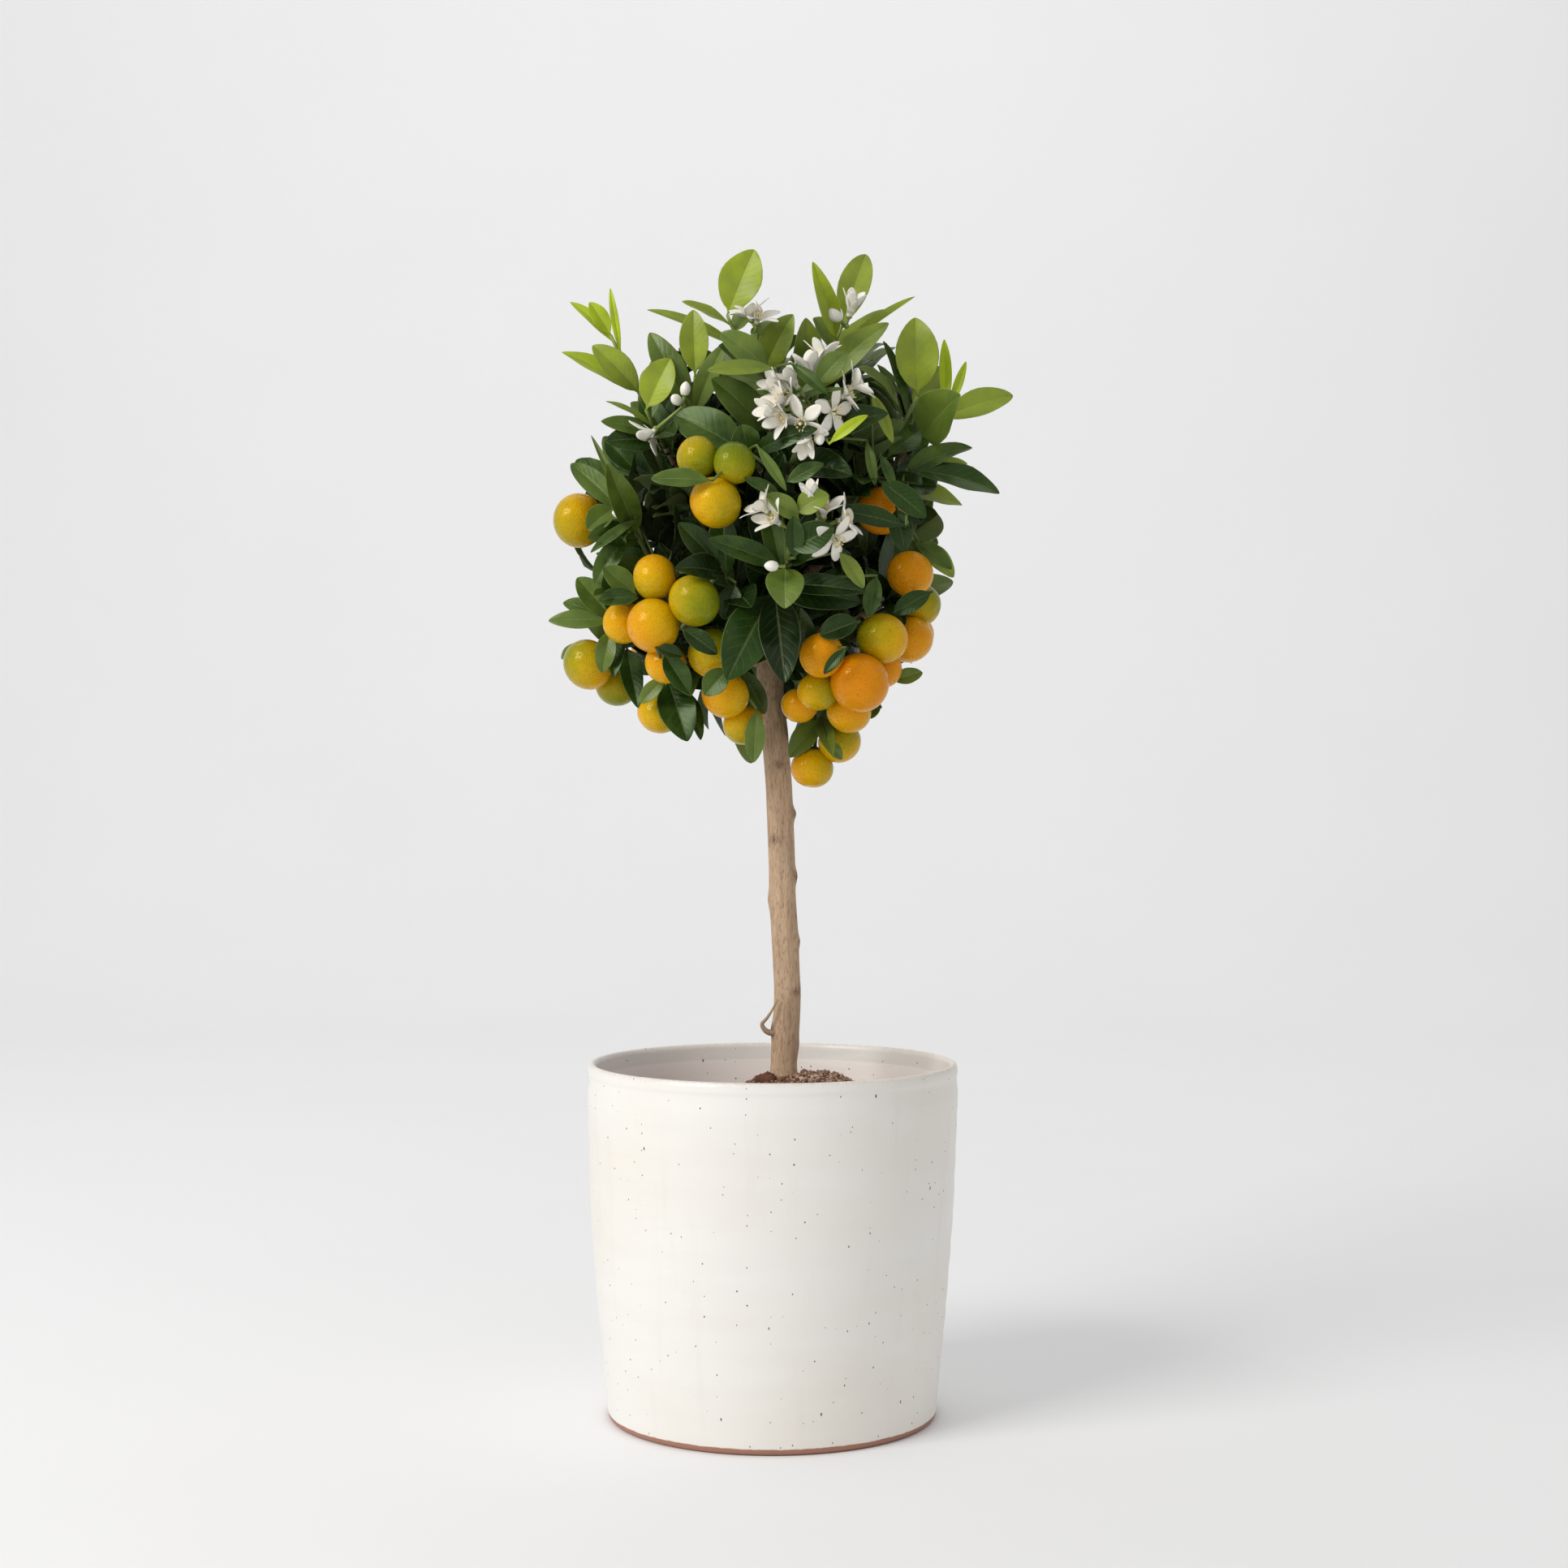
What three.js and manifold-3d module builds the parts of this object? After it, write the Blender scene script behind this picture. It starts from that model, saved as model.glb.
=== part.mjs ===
// A calamondin tree grown as a small standard in a glazed pot: one bare stem, a round crown of
// glossy leaves, ripening fruit in tight clusters, white blossom and buds.
// Millimetres, +Z up. The origin is the centre of the pot's underside and -Y is the front.
import * as THREE from "three";
import { mergeVertices } from "three/addons/utils/BufferGeometryUtils.js";
import Module from "manifold-3d";

const wasm = await Module();
wasm.setup();

// Driving dimensions
const GAP = 0.3; // air between pieces that touch
const POT = { height: 223, rim: 117.5, foot: 104, wall: 5.5, floor: 9, sides: 40 };
const SOIL = { edge: 192, mound: 23, spread: 52, centre: [14, 0], rings: 4, sides: 24 };
const TRUNK = { radius: 8.8, top: 5.5, sides: 8, steps: 18, knot: 1.1 };
const TWIG = { root: 2.5, end: 1.7, sides: 3, woody: 0.45 };
const STALK = { radius: 1.2, calyx: 3, calyxDepth: 1.3, sides: 3 };
const FRUIT = { around: 9, down: 6, flat: 0.93, facetGrowth: 1.03 };
const LEAF = { thick: 0.9, arch: 0.5, fold: 0.22, length: 46, slender: 0.44, spacing: 0.03 };
const LEAF_FACETS = { stations: [0.3, 0.68], growth: 1.08 }; // edge points along it, and widening
const LEAF_FIT = { spare: 0.35, tries: 14, swing: 0.055, shorten: 0.015, narrow: 0.02, sunk: 0.22 };
const PETAL = { length: 13, width: 5.8, thick: 0.8, throat: 1.6, curl: 1.6 };
const FLOWER_STALK = { radius: 1.3, knuckle: 2.2, neck: 3 };
const BUD = { length: 9, radius: 3.2 };
const CROWN = { centre: [0, 0, 567], reach: [132, 118, 150] };

// Surface colours: leaves run from old and dark to young and light, fruit from green to ripe
const LOOKS = {
  pot: { color: 0xe9e6dc, roughness: 0.5, metalness: 0 },
  soil: { color: 0x6b4a38, roughness: 0.95, metalness: 0 },
  wood: { color: 0xa68a6c, roughness: 0.8, metalness: 0 },
  leaf: { color: 0x2f4f1f, roughness: 0.38, metalness: 0 },
  fruit: { color: 0x8f9a20, roughness: 0.35, metalness: 0 },
  bloom: { color: 0xf4f0e2, roughness: 0.6, metalness: 0 },
};
const YOUNG_LEAF = 0x7f9c3c;
const RIPE_FRUIT = 0xe8860c;

// The stem's centreline, from inside the soil to the fork
const TRUNK_LINE = [
  [8, 0, 120], [8, 0, 190], [8, 0, 211], [10, 0, 251], [10, 0, 275], [9, 0, 299], [7, 0, 330],
  [5, 0, 364], [4, 0, 400], [2, 0, 434], [-1, 0, 456], [-2, 0, 474], [-1, 2, 502], [0, 3, 530],
];
const KNOT_HEIGHTS = [233, 279, 318, 345, 384, 407];
const SPUR_LINE = [[3, -3, 239], [-3.5, -6, 242], [-5, -7, 246], [1, -9, 259]];

// Main limbs: where each leaves the stem, its end, and how far it bows
const LIMBS = {
  leader: { from: [0, 3, 525], to: [0, 0, 640], bow: [4, 4, 0] },
  left_low: { from: [-2, 0, 476], to: [-72, -20, 506], bow: [0, 0, -8] },
  left_up: { from: [-1, 2, 505], to: [-62, -18, 608], bow: [-12, 0, -8] },
  right_low: { from: [-1, 0, 481], to: [62, -14, 508], bow: [0, 0, -9] },
  right_up: { from: [0, 2, 510], to: [68, -14, 603], bow: [12, 0, -8] },
  front_low: { from: [-2, 0, 486], to: [-8, -56, 504], bow: [0, 0, -5] },
  front_up: { from: [-1, 1, 500], to: [-2, -56, 586], bow: [0, -10, -8] },
  back_low: { from: [-1, 3, 484], to: [4, 60, 502], bow: [0, 0, -6] },
  back_up: { from: [0, 3, 508], to: [4, 62, 596], bow: [0, 10, -8] },
  back_left: { from: [-1, 2, 495], to: [-58, 48, 556], bow: [-8, 6, -8] },
  back_right: { from: [0, 2, 498], to: [60, 48, 556], bow: [8, 6, -8] },
};

// Leafy shoots: the limb each grows from, its tip, and its leaves as
// [how far along the shoot, leaf tip, width, which way the upper face looks].
// "more" leaves are added by rule.
const SHOOTS = [
  { name: "top_tall", limb: "leader", at: 1.0, tip: [-28, -24, 692], more: 1, leaves: [
    [1, [-11, -30, 732], 26, "front"],
    [0.93, [-56, -30, 700], 8, "up"],
    [0.7, [-79, -10, 699], 9, "up"],
  ] },
  { name: "top_bloom", limb: "leader", at: 0.85, tip: [-10, -36, 683], more: 1, leaves: [
    [0.6, [13, -44, 689], 21, "front"],
    [0.6, [-24, -24, 677], 17, "front"],
    [0.5, [-32, -80, 663], 18, "front"],
  ] },
  { name: "right_bloom", limb: "leader", at: 0.7, tip: [44, -36, 684], more: 1, leaves: [
    [0.9, [24, -78, 720], 18, "front"],
    [1, [60, -16, 727], 20, "front"],
    [0.6, [21, -56, 684], 19, "front"],
    [0.62, [72, -48, 683], 18, "front"],
    [0.85, [89, -30, 703], 7, "up"],
    [0.75, [71, -6, 700], 12, "up"],
  ] },
  { name: "right_tall", limb: "right_up", at: 1.0, tip: [91, -26, 641], more: 1, leaves: [
    [1, [89, -34, 689], 28, "front"],
    [0.75, [69, -30, 675], 9, "right"],
    [0.9, [107, -6, 663], 15, "front"],
    [0.7, [54, -50, 656], 15, "up"],
  ] },
  { name: "right_young", limb: "right_up", at: 0.85, tip: [116, -24, 638], more: 1, leaves: [
    [0.6, [115, -60, 637], 31, "front"],
    [0.85, [151, -26, 642], 18, "front"],
    [0.93, [108, -20, 678], 8, "front"],
    [1, [121, -22, 665], 6, "front"],
    [0.97, [138, -22, 640], 5, "up"],
  ] },
  { name: "right_wide", limb: "right_up", at: 0.6, tip: [83, -44, 593], more: 1, leaves: [
    [1, [141, -46, 579], 18, "up"],
    [0.9, [125, -30, 610], 15, "up"],
    [0.8, [123, -16, 601], 14, "up"],
    [0.8, [120, -20, 575], 16, "up"],
    [0.75, [93, -46, 560], 19, "front"],
    [0.6, [71, -40, 582], 8, "front"],
  ] },
  { name: "left_young", limb: "left_up", at: 1.0, tip: [-101, -22, 680], more: 1, leaves: [
    [1, [-114, -26, 700], 11, "front"],
    [0.96, [-127, -16, 702], 8, "up"],
    [0.9, [-104, -24, 710], 5, "front"],
    [0.5, [-112, -28, 673], 18, "front"],
    [0.5, [-132, -20, 670], 13, "up"],
  ] },
  { name: "left_spray", limb: "left_up", at: 0.9, tip: [-77, -56, 628], more: 2, leaves: [
    [1, [-62, -62, 659], 21, "front"],
    [0.85, [-76, -34, 658], 15, "front"],
    [0.7, [-105, -50, 622], 11, "front"],
    [0.8, [-102, -52, 634], 7, "right"],
    [0.6, [-102, -52, 610], 17, "front"],
  ] },
  { name: "upper_left", limb: "left_up", at: 0.75, tip: [-47, -54, 649], more: 1, leaves: [
    [1, [-48, -60, 689], 18, "front"],
    [0.75, [-76, -40, 679], 18, "front"],
    [0.85, [-64, -62, 664], 8, "front"],
    [0.8, [-29, -72, 666], 14, "front"],
  ] },
  { name: "upper_mid", limb: "front_up", at: 0.7, tip: [-1, -72, 649], more: 1, leaves: [
    [1, [-31, -76, 672], 17, "front"],
    [0.95, [-38, -92, 646], 13, "up"],
    [0.7, [-36, -84, 643], 22, "front"],
    [0.8, [43, -122, 630], 9, "up"],
    [0.8, [39, -72, 659], 17, "front"],
  ] },
  { name: "front_left", limb: "front_up", at: 1.0, tip: [-14, -88, 598], more: 1, leaves: [
    [0.9, [-59, -72, 623], 26, "front"],
    [1, [-18, -92, 614], 17, "front"],
    [0.95, [27, -112, 609], 13, "front"],
    [0.6, [-35, -86, 580], 12, "up"],
    [0.8, [-4, -94, 595], 7, "front"],
  ] },
  { name: "big_bloom", limb: "front_up", at: 0.85, tip: [24, -84, 615], more: 1, leaves: [
    [0.9, [70, -94, 623], 19, "front"],
    [0.7, [55, -92, 615], 6, "up"],
    [0.6, [48, -100, 583], 21, "front"],
  ] },
  { name: "left_mid", limb: "left_low", at: 0.6, tip: [-89, -52, 563], more: 1, leaves: [
    [1, [-125, -34, 598], 15, "front"],
    [0.9, [-98, -94, 590], 18, "front"],
    [0.9, [-112, -66, 549], 19, "front"],
    [0.8, [-112, -40, 615], 6, "front"],
    [0.7, [-108, -50, 541], 11, "front"],
    [0.6, [-107, -44, 523], 16, "front"],
    [0.75, [-59, -82, 568], 9, "right"],
  ] },
  { name: "centre_left", limb: "front_low", at: 0.6, tip: [-31, -88, 530], more: 2, leaves: [
    [1, [-55, -102, 554], 16, "front"],
    [0.9, [-56, -118, 526], 18, "front"],
    [0.7, [-12, -106, 504], 18, "front"],
  ] },
  { name: "centre_bloom", limb: "front_low", at: 0.95, tip: [10, -106, 532], more: 0, leaves: [
    [0.5, [-26, -118, 460], 29, "front"],
    [0.5, [8, -124, 458], 24, "front"],
    [0.95, [8, -122, 502], 22, "front"],
    [0.97, [-37, -116, 543], 15, "front"],
    [1, [36, -112, 550], 17, "front"],
    [0.9, [24, -88, 561], 15, "front"],
    [0.98, [-4, -104, 568], 15, "front"],
    [1, [35, -100, 570], 13, "front"],
    [0.85, [56, -106, 513], 14, "front"],
    [0.6, [54, -92, 508], 23, "front"],
  ] },
  { name: "left_low", limb: "left_low", at: 1.0, tip: [-100, -50, 499], more: 1, leaves: [
    [0.9, [-120, -48, 526], 18, "front"],
    [0.75, [-100, -62, 531], 17, "front"],
    [0.7, [-105, -102, 512], 12, "up"],
    [1, [-138, -46, 500], 12, "front"],
    [0.95, [-130, -38, 512], 12, "front"],
    [1, [-96, -66, 464], 13, "front"],
  ] },
  { name: "lower_left", limb: "left_low", at: 0.8, tip: [-101, -26, 483], more: 2, leaves: [
    [1, [-135, 4, 480], 12, "front"],
    [0.8, [-82, -56, 446], 14, "front"],
  ] },
  { name: "bottom_left", limb: "left_low", at: 0.6, tip: [-64, -50, 463], more: 1, leaves: [
    [1, [-51, -72, 425], 23, "front"],
    [0.95, [-43, -52, 426], 11, "right"],
    [0.9, [-83, -18, 448], 11, "front"],
    [0.7, [-49, -78, 453], 18, "front"],
  ] },
  { name: "bottom_mid", limb: "front_low", at: 0.35, tip: [-26, -62, 467], more: 2, leaves: [
    [0.8, [-42, -52, 451], 17, "front"],
    [1, [-13, -6, 412], 16, "front"],
    [0.8, [-4, -40, 442], 13, "front"],
  ] },
  { name: "right_upper", limb: "right_up", at: 0.45, tip: [62, -44, 592], more: 2, leaves: [
    [0.8, [40, -100, 562], 21, "front"],
    [1, [79, -50, 534], 18, "front"],
    [0.6, [82, -96, 557], 19, "front"],
  ] },
  { name: "right_side", limb: "right_low", at: 0.9, tip: [74, -26, 515], more: 2, leaves: [
    [0.8, [115, 0, 528], 17, "front"],
    [0.7, [100, -34, 549], 17, "front"],
    [1, [98, -74, 515], 15, "front"],
    [0.8, [58, -66, 530], 13, "front"],
  ] },
  { name: "right_low", limb: "right_low", at: 0.75, tip: [59, -52, 479], more: 1, leaves: [
    [0.8, [29, -88, 490], 16, "front"],
    [1, [88, -12, 475], 12, "up"],
    [0.7, [54, -60, 501], 17, "front"],
  ] },
  { name: "low_right", limb: "front_low", at: 0.5, tip: [27, -60, 481], more: 1, leaves: [
    [0.7, [17, -86, 505], 18, "front"],
    [1, [30, -54, 461], 8, "right"],
    [0.8, [68, -40, 446], 9, "front"],
  ] },
  { name: "bottom_right", limb: "right_low", at: 0.4, tip: [30, -34, 440], more: 1, leaves: [
    [1, [12, -46, 414], 15, "front"],
    [1, [37, -74, 416], 9, "front"],
    [0.7, [16, -24, 438], 12, "front"],
  ] },
  { name: "right_far", limb: "back_right", at: 0.9, tip: [88, 34, 558], more: 8, leaves: [] },
  { name: "back_top", limb: "leader", at: 0.9, tip: [8, 42, 684], more: 8, leaves: [] },
  { name: "back_left_up", limb: "back_left", at: 1.0, tip: [-76, 62, 634], more: 9, leaves: [] },
  { name: "back_right_up", limb: "back_right", at: 1.0, tip: [78, 60, 636], more: 9, leaves: [] },
  { name: "back_mid", limb: "back_up", at: 1.0, tip: [2, 92, 612], more: 9, leaves: [] },
  { name: "back_left_low", limb: "back_left", at: 0.8, tip: [-88, 58, 528], more: 8, leaves: [] },
  { name: "back_right_low", limb: "back_right", at: 0.75, tip: [84, 62, 524], more: 8, leaves: [] },
  { name: "back_low", limb: "back_low", at: 1.0, tip: [4, 82, 492], more: 8, leaves: [] },
];

// How ripe each cluster of fruit is, from 0 green to 1 orange
const RIPENESS = {
  upper: 0.3, far_left: 0.65, left: 0.65, low_left: 0.4, bottom_left: 0.5, bottom_mid: 0.6,
  upper_right: 1, right: 0.85, low_right: 0.8, bottom_right: 0.45,
  back_left: 0.7, back_mid: 0.5, back_right: 0.9, back_low: 0.6,
};

// Fruit: [centre, radius, shoot that carries it, how far along that shoot]
const FRUITS = {
  upper: [
    [[-44, -100, 593], 13.2, "front_left", 0.9],
    [[-22, -107, 589], 12.7, "front_left", 1],
    [[-33, -104, 566], 15.6, "front_left", 0.8],
  ],
  far_left: [[[-121, -22, 564], 16.8, "left_mid", 1]],
  left: [
    [[-70, -86, 523], 14.2, "centre_left", 1],
    [[-46, -98, 508], 15.9, "centre_left", 0.95],
    [[-71, -89, 494], 16.6, "centre_left", 0.6],
    [[-90, -70, 497], 12.8, "left_low", 0.9],
    [[-64, -76, 472], 12.5, "bottom_left", 0.95],
  ],
  low_left: [
    [[-114, -38, 473], 15.8, "lower_left", 1],
    [[-97, -20, 461], 13.9, "lower_left", 1],
  ],
  bottom_left: [[[-69, -48, 443], 14, "bottom_left", 1]],
  bottom_mid: [
    [[-36, -80, 478], 14.8, "bottom_mid", 0.8],
    [[-28, -72, 453], 14.5, "bottom_mid", 0.8],
    [[-17, -58, 435], 12.9, "bottom_mid", 0.8],
  ],
  upper_right: [[[67, -60, 566], 15.4, "right_upper", 1]],
  right: [
    [[85, -52, 528], 14.5, "right_side", 1],
    [[92, -36, 510], 13.5, "right_side", 1],
    [[85, -46, 488], 14.5, "right_side", 0.9],
  ],
  low_right: [
    [[67, -77, 487], 15.6, "right_low", 1],
    [[53, -84, 460], 18, "right_low", 0.85],
    [[47, -62, 443], 13.8, "right_low", 0.85],
    [[68, -59, 469], 12, "right_low", 1],
    [[30, -92, 476], 13.6, "low_right", 1],
    [[28, -76, 455], 12.5, "low_right", 1],
    [[17, -60, 447], 11.4, "low_right", 0.9],
  ],
  bottom_right: [
    [[42, -40, 425], 13.5, "bottom_right", 1],
    [[25, -37, 409], 13.2, "bottom_right", 0.9],
  ],
  back_left: [
    [[-96, 66, 503], 14, "back_left_low", 1],
    [[-80, 84, 490], 15, "back_left_low", 0.9],
  ],
  back_mid: [
    [[10, 108, 572], 15, "back_mid", 1],
    [[-15, 104, 564], 14, "back_mid", 0.9],
  ],
  back_right: [
    [[92, 66, 498], 15, "back_right_low", 1],
    [[73, 83, 489], 14.5, "back_right_low", 0.9],
  ],
  back_low: [
    [[10, 96, 462], 15, "back_low", 1],
    [[-14, 90, 452], 14, "back_low", 0.9],
  ],
};

// Blossom: the shoot that carries each cluster, how far along it, the point the flower stalks
// spring from, and its flowers as [centre, opening in degrees]; 0 degrees is a closed bud
const BLOOMS = {
  top: { shoot: "top_bloom", at: 1, heart: [-10, -41, 680], flowers: [[[-9, -44, 685], 62]] },
  top_right: { shoot: "right_bloom", at: 1, heart: [46, -38, 683], flowers: [
    [[49, -41, 690], 42],
    [[41, -42, 685], 0],
  ] },
  centre: { shoot: "big_bloom", at: 1, heart: [26, -92, 622], flowers: [
    [[19, -104, 614], 80],
    [[37, -101, 621], 74],
    [[44, -93, 632], 66],
    [[12, -97, 628], 50],
    [[27, -88, 641], 46],
    [[28, -103, 607], 0],
  ] },
  low_left: { shoot: "centre_bloom", at: 1, heart: [9, -113, 550], flowers: [[[4, -117, 553], 42]] },
  low_right: { shoot: "centre_bloom", at: 0.9, heart: [30, -106, 551], flowers: [
    [[37, -114, 544], 76],
    [[31, -110, 558], 46],
  ] },
  bud_left: { shoot: "upper_left", at: 0.7, heart: [-54, -65, 629], flowers: [
    [[-53, -68, 635], 0],
    [[-58, -69, 629], 0],
  ] },
  bud_side: { shoot: "left_mid", at: 0.95, heart: [-87, -62, 564], flowers: [[[-89, -63, 564], 0]] },
  bud_centre: { shoot: "centre_bloom", at: 0.9, heart: [6, -116, 527], flowers: [[[4, -117, 527], 0]] },
  back: { shoot: "back_right_up", at: 1, heart: [79, 68, 640], flowers: [[[83, 75, 644], 68]] },
};

const FACING = { front: [0, -1, 0.25], up: [0, -0.35, 1], right: [1, -0.3, 0.2] };

const vec = (p) => new THREE.Vector3(...p);

// A repeatable draw from 0 to 1 for each leaf and try.
function draw(a, b, c) {
  const s = Math.sin(a * 127.1 + b * 311.7 + c * 74.7) * 43758.5453;
  return s - Math.floor(s);
}

// Curves
function bowed(from, to, bow) {
  const middle = from.clone().add(to).multiplyScalar(0.5).add(bow);
  return new THREE.QuadraticBezierCurve3(from, middle, to);
}

function limbCurve(name) {
  const { from, to, bow } = LIMBS[name];
  return bowed(vec(from), vec(to), vec(bow));
}

// A shoot's line from its limb to its tip, sagging a little before it lifts to the light.
function shootCurve(shoot) {
  const from = limbCurve(shoot.limb).getPoint(shoot.at);
  const to = vec(shoot.tip);
  return bowed(from, to, new THREE.Vector3(0, 0, -0.06 * from.distanceTo(to)));
}

// Solids: a closed mesh becomes a manifold solid and back
function solidOf(positions, triangles) {
  return new wasm.Manifold(
    new wasm.Mesh({
      numProp: 3,
      vertProperties: new Float32Array(positions),
      triVerts: new Uint32Array(triangles),
    }),
  );
}

function solidFromGeometry(geometry) {
  geometry.deleteAttribute("normal");
  geometry.deleteAttribute("uv");
  const merged = mergeVertices(geometry, 1e-4);
  return solidOf(merged.attributes.position.array, merged.index.array);
}

function geometryOf(solid) {
  const { numProp, vertProperties, triVerts, numVert } = solid.getMesh();
  const positions = new Float32Array(numVert * 3);
  for (let i = 0; i < numVert; i++) {
    positions.set(vertProperties.subarray(i * numProp, i * numProp + 3), i * 3);
  }
  const geometry = new THREE.BufferGeometry();
  geometry.setAttribute("position", new THREE.BufferAttribute(positions, 3));
  geometry.setIndex(new THREE.BufferAttribute(new Uint32Array(triVerts), 1));
  geometry.computeVertexNormals();
  return geometry;
}

function join(solids) {
  return solids.reduce((whole, next) => whole.add(next));
}

// A closed tube through points, with a radius at each; a radius of 0 at an end makes a point.
function tube(points, radii, sides) {
  const positions = [];
  const rings = [];
  const side = new THREE.Vector3(0.31, 0.83, 0.46);
  points.forEach((point, i) => {
    const ahead = points[Math.min(i + 1, points.length - 1)];
    const behind = points[Math.max(i - 1, 0)];
    const along = ahead.clone().sub(behind).normalize();
    side.addScaledVector(along, -side.dot(along)).normalize();
    const across = along.clone().cross(side);
    const count = radii[i] > 0 ? sides : 1;
    const first = positions.length;
    for (let k = 0; k < count; k++) {
      const angle = (2 * Math.PI * k) / sides;
      const p = point.clone().addScaledVector(side, radii[i] * Math.cos(angle));
      positions.push(p.addScaledVector(across, radii[i] * Math.sin(angle)));
    }
    rings.push((k) => first + (k % count));
  });
  const triangles = [];
  for (let i = 0; i < points.length - 1; i++) {
    const [lower, upper] = [rings[i], rings[i + 1]];
    for (let k = 0; k < sides; k++) {
      if (radii[i] > 0) triangles.push(lower(k), lower(k + 1), upper(k));
      if (radii[i + 1] > 0) triangles.push(lower(k + 1), upper(k + 1), upper(k));
    }
  }
  const [start, end] = [rings[0], rings[rings.length - 1]];
  for (let k = 1; k < sides - 1; k++) {
    if (radii[0] > 0) triangles.push(start(0), start(k + 1), start(k));
    if (radii[radii.length - 1] > 0) triangles.push(end(0), end(k), end(k + 1));
  }
  return solidOf(positions.flatMap((p) => p.toArray()), triangles);
}

// Pot: a thrown cylinder, a little narrower at the foot, with a soft rim
function potSolid() {
  const { height, rim, foot, wall, floor, sides } = POT;
  const profile = [
    [0, 0], [foot - 2.5, 0], [foot, 3.5], [foot + 6, 72], [foot + 10.4, 130], [rim, height - 10],
    [rim - 0.5, height - 2], [rim - 2.3, height], [rim - wall + 0.8, height - 1.4],
    [rim - wall, height - 9], [foot + 0.5 - wall, floor + 6], [foot - 12, floor], [0, floor],
  ];
  const points = profile.map(([r, z]) => new THREE.Vector2(r, z));
  const geometry = new THREE.LatheGeometry(points, sides);
  geometry.rotateX(Math.PI / 2);
  return solidFromGeometry(geometry);
}

// The inside radius of the pot's straight inner wall at a height
function insideRadius(z) {
  const { height, rim, foot, wall, floor } = POT;
  return THREE.MathUtils.mapLinear(z, floor + 6, height - 9, foot + 0.5 - wall, rim - wall);
}

// Soil: fills the pot and rises in a low mound round the stem
function soilHeight(x, y) {
  const { edge, mound, spread, centre } = SOIL;
  const away = Math.hypot(x - centre[0], y - centre[1]) / spread;
  const lumps = 1.2 * Math.sin(x / 9) * Math.cos(y / 11 + 1) + 0.8 * Math.sin((x + y) / 6);
  return edge + mound / (1 + away ** 4) + lumps;
}

function soilSolid(trunkHole) {
  const { rings, sides } = SOIL;
  const facetShare = Math.cos(Math.PI / POT.sides);
  const fit = (z) => insideRadius(z) * facetShare - GAP;
  const bottom = POT.floor + GAP;
  const corner = POT.floor + 6;
  const outer = fit(SOIL.edge - 2);
  const profile = [[0, bottom], [(POT.foot - 12) * facetShare - GAP, bottom], [fit(corner), corner + GAP]];
  for (let i = 0; i <= rings + 1; i++) profile.push([outer * (1 - i / (rings + 1)), SOIL.edge]);
  const geometry = new THREE.LatheGeometry(profile.map(([r, z]) => new THREE.Vector2(r, z)), sides);
  geometry.rotateX(Math.PI / 2);
  const position = geometry.attributes.position;
  for (let i = 0; i < position.count; i++) {
    if (position.getZ(i) > SOIL.edge - 1) {
      position.setZ(i, soilHeight(position.getX(i), position.getY(i)));
    }
  }
  return solidFromGeometry(geometry).subtract(trunkHole);
}

// Wood: the stem with its bud scars, the limbs and the woody start of each shoot
function trunkRadius(z) {
  const scars = KNOT_HEIGHTS.map((height) => TRUNK.knot * Math.exp(-(((z - height) / 5) ** 2)));
  const taper = THREE.MathUtils.clamp((z - 474) / (530 - 474), 0, 1);
  return THREE.MathUtils.lerp(TRUNK.radius, TRUNK.top, taper) + Math.max(...scars);
}

function trunkSolid(extra = 0) {
  const curve = new THREE.CatmullRomCurve3(TRUNK_LINE.map(vec));
  const points = curve.getPoints(TRUNK.steps);
  points[0].z -= extra;
  return tube(points, points.map((p) => trunkRadius(p.z) + extra), TRUNK.sides);
}

function limbSolid(name) {
  const points = limbCurve(name).getPoints(2);
  const thick = name === "leader" ? TRUNK.top : 4.6;
  return tube(points, points.map((_, i) => THREE.MathUtils.lerp(thick, 2.8, i / 2)), 4);
}

function twigSolid(shoot) {
  const curve = shootCurve(shoot);
  return tube([curve.getPoint(0), curve.getPoint(TWIG.woody)], [TWIG.root, TWIG.end], TWIG.sides);
}

function woodSolid() {
  const spur = tube(SPUR_LINE.map(vec), [2.6, 1.6, 1, 0.6], 5);
  const limbs = Object.keys(LIMBS).map(limbSolid);
  return join([trunkSolid(), spur, ...limbs, ...SHOOTS.map(twigSolid)]);
}

// Leaves
// Half width along a leaf, as a share: a narrow stalk, then an oval blade that comes to a point.
function leafShare(t) {
  const blade = Math.max(0, (t - 0.08) / 0.92);
  return Math.max(Math.sin(Math.PI * blade ** 0.9), 0) ** 0.75;
}

// A leaf's frame: its base, the straight way to its tip, its upper side and its edge direction.
function leafFrame(base, tip, width, facing, arch) {
  const along = tip.clone().sub(base);
  const length = along.length();
  along.normalize();
  const normal = facing.clone().addScaledVector(along, -facing.dot(along)).normalize();
  const edge = along.clone().cross(normal);
  return { base, along, normal, edge, length, width, arch };
}

// A point of the leaf's middle surface: t runs from base to tip and v from edge to edge.
function leafPoint(leaf, t, v, lift) {
  const { base, along, normal, edge, length, width, arch } = leaf;
  const turn = arch * (t - 0.5);
  const radius = length / (2 * Math.sin(arch / 2));
  const point = base.clone();
  point.addScaledVector(along, radius * (Math.sin(turn) + Math.sin(arch / 2)));
  point.addScaledVector(normal, radius * (Math.cos(turn) - Math.cos(arch / 2)));
  const up = normal.clone().multiplyScalar(Math.cos(turn)).addScaledVector(along, Math.sin(turn));
  const half = (width / 2) * leafShare(t);
  point.addScaledVector(edge, v * half * Math.cos(LEAF.fold));
  point.addScaledVector(up, Math.abs(v) * half * Math.sin(LEAF.fold) + lift);
  return point;
}

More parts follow.
